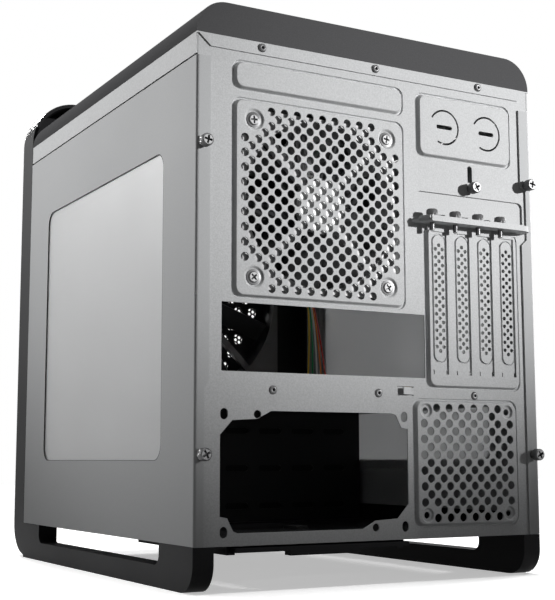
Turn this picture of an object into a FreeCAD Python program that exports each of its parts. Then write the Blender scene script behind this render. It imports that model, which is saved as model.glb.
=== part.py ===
import FreeCAD, Part
import math
import os
import re
from types import SimpleNamespace

import Sketcher
from FreeCAD import Placement, Rotation, Vector

# A small tower computer case, millimetres, +Z up.
# The rear faces +Y and the front -Y, so the side on the left of someone who looks at the rear is +X.
# The origin is under the middle of the whole case, on the surface that it stands on.
# Depths are counted inwards from the rear sheet, and levels upwards from the underside of the steel body.

SIZES = {
    "steel body": {
        "body_width": 277.0,
        "body_height": 330.0,
        "body_depth": 342.0,
        "steel": 1.0,
        "skin_gap": 0.3,
        "return_depth": 12.0,
        "return_lift": 5.0,
        "corner_relief": 2.0,
        "base_gap": 0.2,
    },
    "raised fields of the rear sheet": {
        "emboss": 2.0,
        "emboss_corner": 6.0,
        "upper_side": 44.3,
        "blank_width": 134.4,
        "blank_height": 19.0,
        "blank_below_top": 24.5,
        "fan_field_height": 132.0,
        "fan_level": 223.7,
        "knock_field_width": 84.2,
        "knock_field_height": 46.0,
        "knock_side": 77.5,
        "knock_below_top": 38.5,
        "knock_pitch": 38.0,
        "knock_diameter": 26.0,
        "knock_slit": 1.0,
        "knock_slot_length": 12.7,
        "knock_slot_width": 2.4,
        "knock_cut_start": 30.0,
        "knock_cut_end": 300.0,
        "vent_field_width": 90.0,
        "vent_field_height": 86.6,
        "vent_side": 74.0,
        "vent_level": 51.5,
        "grille_pitch": 9.9,
        "grille_hole": 5.8,
        "vent_pitch": 10.8,
        "vent_hole": 6.0,
        "grille_margin": 0.2,
        "dimple_diameter": 13.5,
        "dimple_floor": 11.0,
        "dimple_depth": 1.4,
        "vent_dimple_diameter": 9.4,
        "vent_dimple_floor": 7.4,
        "vent_screw_pitch": 71.5,
        "vent_screw_hole": 4.6,
    },
    "board opening and power supply opening": {
        "io_width": 158.75,
        "io_height": 44.45,
        "io_side": 40.0,
        "io_drop": 0.2,
        "supply_side": 48.3,
        "supply_level": 46.4,
        "supply_cut_width": 143.6,
        "supply_cut_height": 77.0,
        "supply_hole_width": 138.0,
        "supply_hole_height": 74.0,
        "supply_hole_step": 24.0,
        "supply_hole": 4.6,
        "supply_height": 86.0,
    },
    "expansion slots": {
        "slot_pitch": 20.32,
        "slot_side": 82.2,
        "slot_opening_width": 13.4,
        "slot_opening_low": 112.7,
        "slot_field_edge": 4.1,
        "slot_field_low": 103.3,
        "ledge_level": 221.5,
        "ledge_thick": 2.0,
        "ledge_depth": 12.5,
        "ledge_left": 8.5,
        "ledge_taper": 9.0,
        "ledge_right": 7.0,
        "hatch_height": 21.5,
        "hatch_corner": 4.0,
        "hatch_margin": 2.0,
        "guide_slot_width": 4.2,
        "guide_slot_top": 266.0,
        "cover_width": 17.4,
        "cover_thick": 0.86,
        "cover_tongue_width": 10.2,
        "cover_tongue_low": 106.2,
        "cover_shoulder": 119.0,
        "cover_tab": 11.4,
        "cover_screw_offset": 9.0,
        "cover_screw_depth": 6.5,
        "cover_oval_width": 10.0,
        "cover_oval_low": 122.0,
        "cover_oval_high": 212.0,
        "cover_oval_rise": 0.6,
        "cover_hole": 2.2,
        "cover_hole_pitch": 5.8,
        "cover_hole_column": 3.0,
        "plate_overlap": 3.0,
        "plate_top": 262.0,
        "plate_gap": 0.3,
        "plate_screw_level": 249.0,
    },
    "lanced clip and rivets": {
        "clip_side": 22.2,
        "clip_level": 100.5,
        "clip_length": 13.6,
        "clip_height": 6.4,
        "clip_slit": 0.8,
        "clip_mouth": 4.0,
        "rivet_shank": 3.2,
        "rivet_head": 6.0,
        "rivet_head_thick": 1.1,
        "rivet_bore": 1.8,
        "strip_rivet_pitch": 90.5,
        "strip_rivet_drop": 3.7,
        "tray_rivet_pitch": 82.0,
        "tray_rivet_level": 98.5,
    },
    "top frame": {
        "strip_side_height": 14.5,
        "strip_rear_height": 8.5,
        "strip_mitre_inset": 1.9,
        "top_opening": 108.0,
        "top_opening_pitch": 128.0,
    },
    "side panels": {
        "flange_width": 10.0,
        "flange_width_low": 6.6,
        "flange_step_level": 102.0,
        "flange_notch_low": 215.4,
        "flange_notch_high": 252.8,
        "flange_notch_width": 5.2,
        "panel_screw_inset": 4.8,
        "panel_screw_low": 57.0,
        "panel_screw_high": 256.5,
        "window_rear": 51.0,
        "window_front": 292.5,
        "window_low": 53.5,
        "window_high": 261.0,
        "window_corner": 11.0,
        "window_overlap": 8.0,
        "window_thick": 3.0,
    },
    "plastic top cover": {
        "top_rise": 23.0,
        "top_shoulder": 22.0,
        "top_wall": 2.5,
        "top_gap": 0.3,
        "top_slot_length": 100.0,
        "top_slot_width": 5.0,
        "top_slot_pitch": 11.0,
        "top_slot_count": 10.0,
    },
    "front bezel": {
        "bezel_depth": 32.0,
        "bezel_rise": 46.0,
        "bezel_corner": 40.0,
        "bezel_wall": 3.0,
        "bezel_edge": 6.0,
        "bezel_foot_radius": 28.0,
        "bezel_leg_width": 30.0,
        "grille_side_margin": 20.0,
        "grille_low": 12.0,
        "grille_high": 334.0,
        "grille_corner": 24.0,
        "grille_overlap": 5.0,
        "grille_thick": 1.2,
        "grille_slot_length": 70.0,
        "grille_slot_height": 5.0,
        "grille_column_pitch": 78.0,
        "grille_row_pitch": 9.9,
        "grille_row_count": 30.0,
        "control_level": 356.0,
        "power_diameter": 17.0,
        "reset_diameter": 6.0,
        "reset_side": 20.0,
        "button_gap": 0.4,
        "button_proud": 1.0,
        "button_rim": 2.0,
        "button_stem": 5.0,
        "switch_width": 6.0,
        "switch_height": 3.5,
        "power_travel": 2.0,
        "reset_travel": 1.0,
        "usb_side": 46.0,
        "usb_pitch": 20.0,
        "usb_width": 14.5,
        "usb_height": 7.2,
        "usb_wall": 0.6,
        "socket_inset": 0.5,
        "audio_side": 50.0,
        "audio_pitch": 14.0,
        "audio_outer": 7.0,
        "audio_bore": 3.6,
        "audio_floor": 1.5,
        "board_width": 150.0,
        "board_height": 22.0,
        "board_thick": 1.6,
        "board_depth": 16.0,
        "post_diameter": 6.0,
    },
    "feet": {
        "foot_height": 28.6,
        "foot_width": 14.5,
        "foot_bar": 14.3,
        "foot_opening_rear": 52.0,
        "foot_opening_front": 300.0,
        "foot_opening_radius": 7.0,
        "foot_rear_radius": 18.0,
        "foot_screw": 3.4,
        "foot_screw_head": 6.4,
        "foot_screw_head_thick": 2.2,
        "foot_screw_length": 12.0,
        "foot_screw_inset": 22.0,
    },
    "board tray": {
        "tray_level": 103.5,
        "tray_depth": 296.0,
        "tray_side_gap": 6.0,
        "tray_flange": 9.0,
        "tray_flange_inset": 8.0,
        "tray_flange_gap": 4.0,
        "tray_window_width": 110.0,
        "tray_window_depth": 100.0,
        "tray_window_rear": 34.0,
        "tray_window_corner": 10.0,
        "cable_slot_width": 60.0,
        "cable_slot_depth": 18.0,
        "cable_slot_rear": 186.0,
        "cable_slot_side": 92.0,
        "standoff_height": 6.5,
        "standoff_flats": 5.0,
        "standoff_bore": 2.9,
        "standoff_thread": 3.4,
        "standoff_left": 16.3,
        "standoff_rear": 14.2,
        "standoff_span_1": 157.48,
        "standoff_span_2": 203.2,
        "standoff_row_1": 154.94,
        "standoff_row_2": 227.33,
    },
    "drive cage": {
        "cage_rear": 228.0,
        "cage_inner": 106.0,
        "cage_left": 121.0,
        "cage_length": 149.0,
        "cage_foot": 8.0,
        "cage_vent_side": 20.0,
        "cage_vent_edge": 15.0,
        "rail_width": 4.0,
        "rail_thick": 1.2,
        "bay_count": 3.0,
        "bay_pitch": 31.5,
        "bay_low": 5.0,
        "drive_slot_length": 22.0,
        "drive_slot_width": 5.0,
        "drive_slot_pitch": 32.0,
        "caddy_side_gap": 0.5,
        "caddy_floor": 2.0,
        "caddy_wall": 1.6,
        "caddy_height": 20.0,
        "caddy_handle": 5.0,
        "caddy_grip_width": 40.0,
        "caddy_grip_edge": 4.0,
        "caddy_grip_corner": 1.5,
        "caddy_window_first": 18.0,
        "caddy_window_pitch": 42.0,
        "caddy_window_width": 34.0,
        "caddy_window_depth": 64.0,
        "caddy_window_corner": 6.0,
        "caddy_window_count": 3.0,
        "caddy_lift": 0.3,
    },
    "supply filter and pads": {
        "base_flange": 15.0,
        "intake_rear": 22.0,
        "intake_pitch": 12.0,
        "intake_slot": 7.0,
        "intake_length": 104.0,
        "intake_count": 10.0,
        "filter_side": 42.5,
        "filter_width": 132.0,
        "filter_length": 152.0,
        "filter_thick": 3.0,
        "filter_border": 8.0,
        "filter_rib": 3.0,
        "filter_drop": 1.3,
        "filter_net": 0.6,
        "handle_width": 53.0,
        "handle_height": 6.0,
        "handle_depth": 8.0,
        "guide_thick": 1.5,
        "guide_lip": 4.0,
        "guide_gap": 0.4,
        "pad_length": 20.0,
        "pad_width": 10.0,
        "pad_span": 120.0,
        "pad_rear": 14.0,
        "pad_front": 124.0,
    },
    "rear fan": {
        "rear_fan": 120.0,
        "rear_fan_depth": 25.0,
        "rear_fan_holes": 105.0,
        "rear_fan_bore": 115.0,
        "rear_fan_hub": 38.0,
        "rear_fan_hole": 4.5,
        "fan_corner": 7.0,
        "fan_flange": 4.0,
        "fan_wall": 2.0,
        "fan_blades": 9.0,
        "blade_chord": 26.0,
        "blade_gap": 1.5,
        "blade_thick": 1.6,
        "blade_end_gap": 0.2,
        "blade_pitch_angle": 38.0,
        "strut_width": 6.0,
        "strut_thick": 4.0,
        "fan_shaft": 4.0,
        "shaft_gap": 0.05,
        "motor_gap": 0.6,
        "fan_screw_head": 7.7,
        "fan_screw_head_thick": 1.2,
        "fan_screw_length": 10.0,
    },
    "front fan": {
        "front_fan": 200.0,
        "front_fan_depth": 20.0,
        "front_fan_holes": 164.0,
        "front_fan_bore": 192.0,
        "front_fan_hub": 60.0,
        "front_blade_chord": 19.0,
        "front_fan_level": 207.0,
        "front_fan_opening": 186.0,
        "front_slot_side": 74.0,
        "front_slot_low": 24.0,
        "front_slot_pitch": 13.0,
        "front_slot_count": 5.0,
        "front_slot_length": 92.0,
        "front_slot_width": 6.0,
        "lead_side": 117.0,
        "lead_level": 302.0,
        "lead_window_width": 24.0,
        "lead_window_height": 20.0,
    },
    "front panel leads": {
        "lead_diameter": 1.6,
        "lead_pitch": 3.4,
        "lead_stagger": 1.1,
        "plug_width": 2.6,
        "plug_length": 14.0,
        "header_depth": 8.0,
        "header_inset": 1.0,
    },
    "thumbscrews": {
        "thumb_head": 8.8,
        "thumb_head_length": 7.0,
        "thumb_collar": 6.4,
        "thumb_collar_length": 1.7,
        "thumb_shank": 3.4,
        "thumb_hole": 4.4,
        "thumb_slot": 1.0,
        "panel_shank_length": 5.0,
        "cover_shank_length": 8.5,
    },
}

doc = FreeCAD.newDocument("pc_case")
sheet = doc.addObject("Spreadsheet::Sheet", "sizes")


def fill_sheet():
    row = 1
    for group, values in SIZES.items():
        sheet.set(f"A{row}", group)
        row += 1
        for alias, value in values.items():
            sheet.set(f"A{row}", alias)
            sheet.set(f"B{row}", str(value))
            sheet.setAlias(f"B{row}", alias)
            row += 1
    doc.recompute()


fill_sheet()
ALIASES = [alias for values in SIZES.values() for alias in values]
s = SimpleNamespace(**{alias: float(sheet.get(alias)) for alias in ALIASES})

# Places that follow from the sizes: as words for bound objects, and as numbers for built shapes.
WORDS = {
    "HALF": "(body_width / 2)",
    "REAR": "((body_depth + bezel_depth + button_proud - ledge_depth) / 2)",
    "FLOOR": "foot_height",
    "FRONT": "(REAR - body_depth)",
}


def bound(text):
    """The text with place words written out and each size's name pointing at the sheet."""
    for _ in range(2):
        for word, meaning in WORDS.items():
            text = re.sub(rf"\b{word}\b", meaning, text)
    return re.sub(r"\b[a-z][a-z_0-9]*\b", lambda m: f"sizes.{m[0]}" if m[0] in ALIASES else m[0], text)


HALF = s.body_width / 2
REAR = (s.body_depth + s.bezel_depth + s.button_proud - s.ledge_depth) / 2
FRONT = REAR - s.body_depth
ALONG_Y = Rotation(Vector(1, 0, 0), -90)
GRILLE_COUNT = 25
VENT_COUNT = 15
UNDER_HALF = 0.01  # a slot's end fillet is this much under half its width
nodes = {}


def level(height):
    return height + s.foot_height


def at(side, depth, height):
    """A point from its side place, its depth behind the rear sheet and its level on the steel body."""
    return Vector(side, REAR - depth, level(height))


def named(label, obj):
    obj.Label = label
    nodes[label] = obj
    return obj


def shaped(label, shape):
    """A piece whose shape is worked out from the sheet's sizes."""
    obj = doc.addObject("Part::Feature", label)
    obj.Shape = shape
    return named(label, obj)


# Bound primitives

def block(name, low, high):
    """A box between two corners, each a list of three expressions in the sheet's names."""
    obj = doc.addObject("Part::Box", name)
    for prop, base, a, b in zip(("Length", "Width", "Height"), "xyz", low, high):
        obj.setExpression(prop, bound(f"({b}) - ({a})"))
        obj.setExpression(f"Placement.Base.{base}", bound(a))
    return obj


def rod(name, start, radius, length, turn=None):
    """A cylinder from its start, along +Z or along +Y when turned."""
    obj = doc.addObject("Part::Cylinder", name)
    obj.setExpression("Radius", bound(radius))
    obj.setExpression("Height", bound(length))
    if turn:
        obj.Placement = Placement(Vector(), turn)
    for base, a in zip("xyz", start):
        obj.setExpression(f"Placement.Base.{base}", bound(a))
    return obj


def joined(name, parts):
    obj = doc.addObject("Part::MultiFuse", name)
    obj.Shapes = parts
    return obj


def cut(name, base, tools):
    obj = doc.addObject("Part::Cut", name)
    obj.Base = base
    obj.Tool = tools[0] if len(tools) == 1 else joined(f"{name}_tools", tools)
    return obj


def revolved(name, points):
    """A turned piece about +Z from (radius, height) expressions, as a PartDesign revolution."""
    body = doc.addObject("PartDesign::Body", f"{name}_body")
    profile = body.newObject("Sketcher::SketchObject", f"{name}_profile")
    plane = next(p for p in body.Origin.OriginFeatures if p.Role == "XZ_Plane")
    profile.AttachmentSupport = [(plane, "")]
    profile.MapMode = "FlatFace"
    corners = [Vector(value(r), value(z), 0) for r, z in points]
    for i, corner in enumerate(corners):
        profile.addGeometry(Part.LineSegment(corner, corners[(i + 1) % len(corners)]))
    for i in range(len(corners)):
        profile.addConstraint(Sketcher.Constraint("Coincident", i, 2, (i + 1) % len(corners), 1))
    for i, (r, z) in enumerate(points):
        for kind, text in (("DistanceX", r), ("DistanceY", z)):
            index = profile.addConstraint(Sketcher.Constraint(kind, -1, 1, i, 1, value(text)))
            profile.setExpression(f"Constraints[{index}]", bound(text))
    turn = body.newObject("PartDesign::Revolution", f"{name}_turn")
    turn.Profile = profile
    turn.ReferenceAxis = (profile, ["V_Axis"])
    turn.Angle = 360
    return body


def value(text):
    """The present number of an expression in the sheet's names."""
    return float(sheet.evalExpression(bound(text)))


# Built shapes: each range is a pair, in side places, depths behind the rear sheet and levels

def brick(sides, depths, levels):
    low = at(min(sides), max(depths), min(levels))
    return Part.makeBox(max(sides) - min(sides), max(depths) - min(depths), max(levels) - min(levels), low)


def pin(side, height, depths, diameter):
    """A cylinder along the case's depth."""
    near, far = sorted(depths)
    return Part.makeCylinder(diameter / 2, far - near, at(side, far, height), Vector(0, 1, 0))


def post(side, depth, levels, diameter):
    """An upright cylinder."""
    return Part.makeCylinder(diameter / 2, max(levels) - min(levels), at(side, depth, min(levels)))


def rounded(sides, levels, radius, depth):
    """The outline of an upright rectangle with round corners."""
    (a, b), (c, d), r = sorted(sides), sorted(levels), radius
    k = r * (1 - math.sqrt(0.5))
    corners = [((b - r, c), (b - k, c + k), (b, c + r)), ((b, d - r), (b - k, d - k), (b - r, d)),
               ((a + r, d), (a + k, d - k), (a, d - r)), ((a, c + r), (a + k, c + k), (a + r, c))]
    edges = []
    for i, corner in enumerate(corners):
        start, middle, end = (at(x, depth, w) for x, w in corner)
        following = corners[(i + 1) % 4][0]
        edges.append(Part.Arc(start, middle, end).toShape())
        edges.append(Part.LineSegment(end, at(following[0], depth, following[1])).toShape())
    return Part.Wire(edges)


def cushion_box(sides, depths, levels, radius):
    """A block with four round corners, seen from the rear."""
    near, far = sorted(depths)
    return Part.Face(rounded(sides, levels, radius, far)).extrude(Vector(0, far - near, 0))


def flat_rounded(sides, depths, levels, radius):
    """A block with four round corners, seen from above."""
    body = brick(sides, depths, levels)
    return body.makeFillet(radius, [e for e in body.Edges if abs(e.tangentAt(e.FirstParameter).z) > 0.99])


def side_rounded(sides, depths, levels, radius):
    """A block with four round corners, seen from the side."""
    body = brick(sides, depths, levels)
    return body.makeFillet(radius, [e for e in body.Edges if abs(e.tangentAt(e.FirstParameter).x) > 0.99])


def prism(points, depths):
    """A block along the case's depth, from an outline of side places and levels."""
    near, far = sorted(depths)
    outline = [at(x, far, w) for x, w in points]
    return Part.Face(Part.makePolygon(outline + outline[:1])).extrude(Vector(0, far - near, 0))


def side_prism(points, sides):
    """A block across the case, from an outline of depths and levels."""
    low, high = sorted(sides)
    outline = [at(low, v, w) for v, w in points]
    return Part.Face(Part.makePolygon(outline + outline[:1])).extrude(Vector(high - low, 0, 0))


def hexagon(side, height, across, depth):
    """The outline of a six-sided hole: it stands for a round hole and has the same area."""
    r = across / 2 * math.sqrt(math.pi / (1.5 * math.sqrt(3)))
    turns = [math.radians(-60 * k) for k in range(7)]
    return Part.makePolygon([at(side + r * math.cos(a), depth, height + r * math.sin(a)) for a in turns])


def perforated(outline, holes, depth, thick):
    """A sheet with holes, from its outline and the holes' outlines at one depth, thickened outwards."""
    return Part.Face([outline] + holes).extrude(Vector(0, thick, 0))


def obround(side, height, length, width, depths):
    """A level slot with round ends."""
    run = (length - width) / 2
    return (brick((side - run, side + run), depths, (height - width / 2, height + width / 2))
            .fuse([pin(side + end * run, height, depths, width) for end in (-1, 1)]).removeSplitter())


def ring_sector(side, height, radii, start, end, depths):
    """Part of a ring round a centre, between two angles from the +X side."""
    (r0, r1), far = radii, max(depths)
    spot = lambda r, a: at(side + r * math.cos(math.radians(a)), far, height + r * math.sin(math.radians(a)))
    middle = (start + end) / 2
    edges = [Part.Arc(spot(r1, start), spot(r1, middle), spot(r1, end)).toShape(),
             Part.LineSegment(spot(r1, end), spot(r0, end)).toShape(),
             Part.Arc(spot(r0, end), spot(r0, middle), spot(r0, start)).toShape(),
             Part.LineSegment(spot(r0, start), spot(r1, start)).toShape()]
    return Part.Face(Part.Wire(edges)).extrude(Vector(0, far - min(depths), 0))


def frustum(side, height, width, tall, base, top):
    """A raised field's block: its sides slope in at 45 degrees from the base depth to the top depth."""
    rise = base - top
    outlines = [rounded((side - width / 2 + i, side + width / 2 - i),
                        (height - tall / 2 + i, height + tall / 2 - i), s.emboss_corner - i / 2, depth)
                for i, depth in ((0, base), (s.emboss, top))]
    return Part.makeLoft(outlines, True, True)


def dimple(side, height, floor, mouth):
    """The metal and the space of a screw's dimple in a raised field."""
    deep = s.dimple_depth - s.emboss
    axis = Vector(0, -1, 0)
    metal = Part.makeCone(mouth / 2 + s.steel / 2, floor / 2 + s.steel / 2, deep + s.emboss,
                          at(side, s.steel - s.emboss, height), axis)
    space = Part.makeCone(mouth / 2, floor / 2, s.dimple_depth, at(side, -s.emboss, height), axis)
    return metal, space


def diagonal_grid(count, pitch, keep):
    """Places of a square staggered grid of holes about its centre, where keep(column, row) says so."""
    half, middle = pitch / 2, (count - 1) / 2
    return [((i - middle) * half, (j - middle) * half)
            for i in range(count) for j in range(count) if (i + j) % 2 == 0 and keep(i, j)]


# The rear sheet: one stamped sheet with raised fields, grilles, openings and a folded ledge

SHEET_HALF = HALF - s.steel - s.skin_gap
BLANK_LEVEL = s.body_height - s.blank_below_top
KNOCK_LEVEL = s.body_height - s.knock_below_top
IO_LOW = s.tray_level + s.standoff_height - s.io_drop
IO_LEVEL = IO_LOW + s.io_height / 2
SLOTS = [-s.slot_side + (1.5 - k) * s.slot_pitch for k in range(4)]
SLOT_FIELD_WIDTH = 3 * s.slot_pitch + s.slot_opening_width + 2 * s.slot_field_edge
LEDGE_LOW = s.ledge_level - s.ledge_thick
SLOT_FIELD_TOP = LEDGE_LOW - s.steel
HATCH_HALF = SLOT_FIELD_WIDTH / 2 + s.ledge_left - s.ledge_right / 2 + s.hatch_margin
PANEL_SCREWS = [(HALF - s.panel_screw_inset, w) for w in (s.panel_screw_low, s.panel_screw_high)]
FAN_CORNERS = [(s.upper_side + a * s.rear_fan_holes / 2, s.fan_level + b * s.rear_fan_holes / 2)
               for a in (-1, 1) for b in (-1, 1)]
VENT_CORNERS = [(-s.vent_side + a * s.vent_screw_pitch / 2, s.vent_level + b * s.vent_screw_pitch / 2)
                for a in (-1, 1) for b in (-1, 1)]
STRIP_RIVETS = [(k * s.strip_rivet_pitch, s.body_height - s.strip_rivet_drop) for k in (-1, 0, 1)]
TRAY_RIVETS = [(k * s.tray_rivet_pitch, s.tray_rivet_level) for k in (-1, 0, 1)]
THROUGH = (-s.emboss - 1, s.steel + 1)


def fields():
    """Centre and size of each raised field."""
    slot_height = SLOT_FIELD_TOP - s.slot_field_low
    return [(s.upper_side, BLANK_LEVEL, s.blank_width, s.blank_height),
            (s.upper_side, s.fan_level, s.blank_width, s.fan_field_height),
            (-s.knock_side, KNOCK_LEVEL, s.knock_field_width, s.knock_field_height),
            (-s.slot_side, s.slot_field_low + slot_height / 2, SLOT_FIELD_WIDTH, slot_height),
            (-s.vent_side, s.vent_level, s.vent_field_width, s.vent_field_height)]


def fan_grille():
    """Holes of the fan grille, left out round each corner screw."""
    bare = {(0, 0), (2, 0), (0, 2), (1, 1), (3, 1), (1, 3), (2, 2)}
    last = GRILLE_COUNT - 1
    keep = lambda i, j: (min(i, last - i), min(j, last - j)) not in bare
    return [(s.upper_side + x, s.fan_level + z) for x, z in diagonal_grid(GRILLE_COUNT, s.grille_pitch, keep)]


def vent_grille():
    """Holes of the low vent, cut off at its corners."""
    last = VENT_COUNT - 1
    keep = lambda i, j: min(i, last - i) >= {0: 2, 1: 3}.get(min(j, last - j), 0)
    return [(x - s.vent_side, s.vent_level + z) for x, z in diagonal_grid(VENT_COUNT, s.vent_pitch, keep)]


def supply_outline():
    """The power supply's opening: the same half outline twice, the second time turned half round."""
    a, b = s.supply_cut_width / 2, s.supply_cut_height / 2
    half = [(41.8 - a, b), (a - 12.8, b), (a - 9.5, b - 1.2), (a - 5.2, b - 9.5), (a, b - 10.5),
            (a, 15.5 - b), (a - 8.7, 6.2 - b), (a - 26.5, 5.2 - b), (a - 36.8, -b)]
    return [(s.supply_side - k * x, s.supply_level + k * z) for k in (1, -1) for x, z in half]


def supply_holes():
    a, b = s.supply_hole_width / 2, s.supply_hole_height / 2
    spots = [(-a, -b), (-a, b), (a, -b), (a, b), (a - s.supply_hole_step, b), (s.supply_hole_step - a, -b)]
    return [(s.supply_side + x, s.supply_level + z) for x, z in spots]


def knock_outs():
    """Two round knock-outs, each held by an uncut quarter and slotted for a screwdriver."""
    tools = []
    for side in (s.knock_pitch / 2 - s.knock_side, -s.knock_pitch / 2 - s.knock_side):
        radius = s.knock_diameter / 2
        tools.append(ring_sector(side, KNOCK_LEVEL, (radius - s.knock_slit, radius),
                                 s.knock_cut_start, s.knock_cut_end, THROUGH))
        tools.append(obround(side, KNOCK_LEVEL, s.knock_slot_length, s.knock_slot_width, THROUGH))
    return tools


def lanced_clip():
    """Two slits and a mouth that leave a small tongue."""
    side = -s.clip_side
    ends = (side - s.clip_length / 2, side + s.clip_length / 2)
    top, low = s.clip_level + s.clip_height / 2, s.clip_level - s.clip_height / 2
    return [brick(ends, THROUGH, (top - s.clip_slit, top)),
            brick(ends, THROUGH, (low, low + s.clip_slit)),
            brick((ends[1] - s.clip_mouth, ends[1]), THROUGH, (low, top))]


def hatch():
    """The window over the ledge: its sides and levels."""
    sides = (-s.slot_side - HATCH_HALF, -s.slot_side + HATCH_HALF)
    return sides, (s.ledge_level, s.ledge_level + s.hatch_height)


def ledge():
    """The shelf folded outwards under the window, tapered at its +X end and round at the other."""
    left = hatch()[0][1] + s.ledge_left / 2
    right = hatch()[0][0]
    outline = [(left, 0), (left - s.ledge_taper, s.ledge_depth), (right + s.ledge_right, s.ledge_depth),
               (right + s.ledge_right * 0.3, s.ledge_depth * 0.8), (right, s.ledge_depth * 0.3), (right, 0)]
    points = [at(x, -v, LEDGE_LOW) for x, v in outline]
    return Part.Face(Part.makePolygon(points + points[:1])).extrude(Vector(0, 0, s.ledge_thick))


def slot_neck():
    """How the slots' raised field runs on up to the ledge: its metal, and the space for the covers behind it."""
    half = SLOT_FIELD_WIDTH / 2 - s.emboss
    start = SLOT_FIELD_TOP - s.emboss
    ends = (-s.slot_side - half, -s.slot_side + half)
    metal = brick((ends[0] - s.steel, ends[1] + s.steel), (-s.emboss, s.steel), (start, s.ledge_level))
    space = brick(ends, (s.steel - s.emboss, s.steel + 1), (start - s.emboss_corner, s.ledge_level + 1))
    return metal, space


def raised_grille(field, places, across, corners, mouth):
    """The perforated flat of a raised field, and the block to cut away for it."""
    side, height, width, tall = field
    inner, outer = s.steel - s.emboss, -s.emboss
    sides = (side - width / 2 + s.emboss + s.grille_margin, side + width / 2 - s.emboss - s.grille_margin)
    levels = (height - tall / 2 + s.emboss + s.grille_margin, height + tall / 2 - s.emboss - s.grille_margin)
    radius = s.emboss_corner - s.emboss / 2 - s.grille_margin
    disc = mouth + s.steel
    holes = [hexagon(x, w, across, inner) for x, w in places]
    holes += [Part.Wire(Part.makeCircle(disc / 2, at(x, inner, w), Vector(0, 1, 0))) for x, w in corners]
    flat = perforated(rounded(sides, levels, radius, inner), holes, inner, s.steel)
    space = cushion_box(sides, (inner, outer), levels, radius)
    return flat, space.cut([pin(x, w, (inner, outer), disc) for x, w in corners])


def rear_holes():
    """Everything that is cut through the rear sheet, apart from the two grilles."""
    tools = [pin(x, w, THROUGH, s.rear_fan_hole) for x, w in FAN_CORNERS]
    tools += [pin(x, w, THROUGH, s.vent_screw_hole) for x, w in VENT_CORNERS]
    tools += [pin(x, w, THROUGH, s.supply_hole) for x, w in supply_holes()]
    tools += [pin(x, w, THROUGH, s.rivet_shank) for x, w in STRIP_RIVETS + TRAY_RIVETS]
    tools += [pin(k * x, w, THROUGH, s.thumb_hole) for x, w in PANEL_SCREWS for k in (-1, 1)]
    tools.append(brick((s.io_side - s.io_width / 2, s.io_side + s.io_width / 2), THROUGH,
                       (IO_LOW, IO_LOW + s.io_height)))
    tools.append(prism(supply_outline(), THROUGH))
    tools += [brick((x - s.slot_opening_width / 2, x + s.slot_opening_width / 2), THROUGH,
                    (s.slot_opening_low, SLOT_FIELD_TOP - s.slot_field_edge)) for x in SLOTS]
    tools.append(cushion_box(hatch()[0], THROUGH, hatch()[1], s.hatch_corner))
    tools.append(brick((-s.slot_side - s.guide_slot_width / 2, -s.slot_side + s.guide_slot_width / 2),
                       THROUGH, (hatch()[1][1] - 1, s.guide_slot_top)))
    tools += [post(x + s.cover_screw_offset, -s.cover_screw_depth, (LEDGE_LOW - 1, s.ledge_level + 1),
                   s.thumb_shank) for x in SLOTS]
    return tools + knock_outs() + lanced_clip()


def rear_panel():
    sheet_plate = brick((-SHEET_HALF, SHEET_HALF), (0, s.steel), (0, s.body_height - s.steel))
    returns = [brick((k * SHEET_HALF, k * (SHEET_HALF - s.steel)), (s.steel, s.steel + s.return_depth),
                     (s.base_flange + s.return_lift, s.body_height - s.strip_side_height)) for k in (-1, 1)]
    raised = [frustum(*field, 0, -s.emboss) for field in fields()]
    hollows = [frustum(*field, s.steel, s.steel - s.emboss) for field in fields()]
    grilles = [raised_grille(fields()[1], fan_grille(), s.grille_hole, FAN_CORNERS, s.dimple_diameter),
               raised_grille(fields()[4], vent_grille(), s.vent_hole, VENT_CORNERS, s.vent_dimple_diameter)]
    dimples = ([dimple(x, w, s.dimple_floor, s.dimple_diameter) for x, w in FAN_CORNERS]
               + [dimple(x, w, s.vent_dimple_floor, s.vent_dimple_diameter) for x, w in VENT_CORNERS])
    panel = sheet_plate.fuse(returns + raised).cut(hollows + [space for flat, space in grilles])
    panel = panel.fuse([metal for metal, space in dimples] + [ledge(), slot_neck()[0]])
    panel = panel.cut([space for metal, space in dimples] + rear_holes() + [slot_neck()[1]])
    return panel.fuse([flat for flat, space in grilles])


# Steel frame round the rear sheet

def chassis_base():
    """The floor of the case: side flanges turned up, and slots for the power supply's air."""
    inner = SHEET_HALF - s.base_gap
    plate = brick((-inner, inner), (s.steel, s.body_depth - s.steel), (0, s.steel))
    start = s.steel + s.return_depth + s.corner_relief
    run = (start, s.body_depth - start)
    flanges = [brick((k * inner, k * (inner - s.steel)), run, (0, s.base_flange)) for k in (-1, 1)]
    tools = [flat_rounded((s.supply_side - s.intake_length / 2, s.supply_side + s.intake_length / 2),
                          (v, v + s.intake_slot), (-1, s.steel + 1), s.intake_slot / 2 - UNDER_HALF)
             for v in (s.intake_rear + k * s.intake_pitch for k in range(int(s.intake_count)))]
    tools += [post(x, v, (-1, s.steel + 1), s.foot_screw) for x, v in foot_screw_places()]
    return plate.fuse(flanges).cut(tools)


def foot_screw_places():
    side = HALF - s.foot_width / 2
    return [(k * side, v) for k in (-1, 1) for v in (s.foot_screw_inset, s.body_depth - s.foot_screw_inset)]


def front_fan_corners():
    reach = s.front_fan_holes / 2
    return [(a * reach, s.front_fan_level + b * reach) for a in (-1, 1) for b in (-1, 1)]


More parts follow.
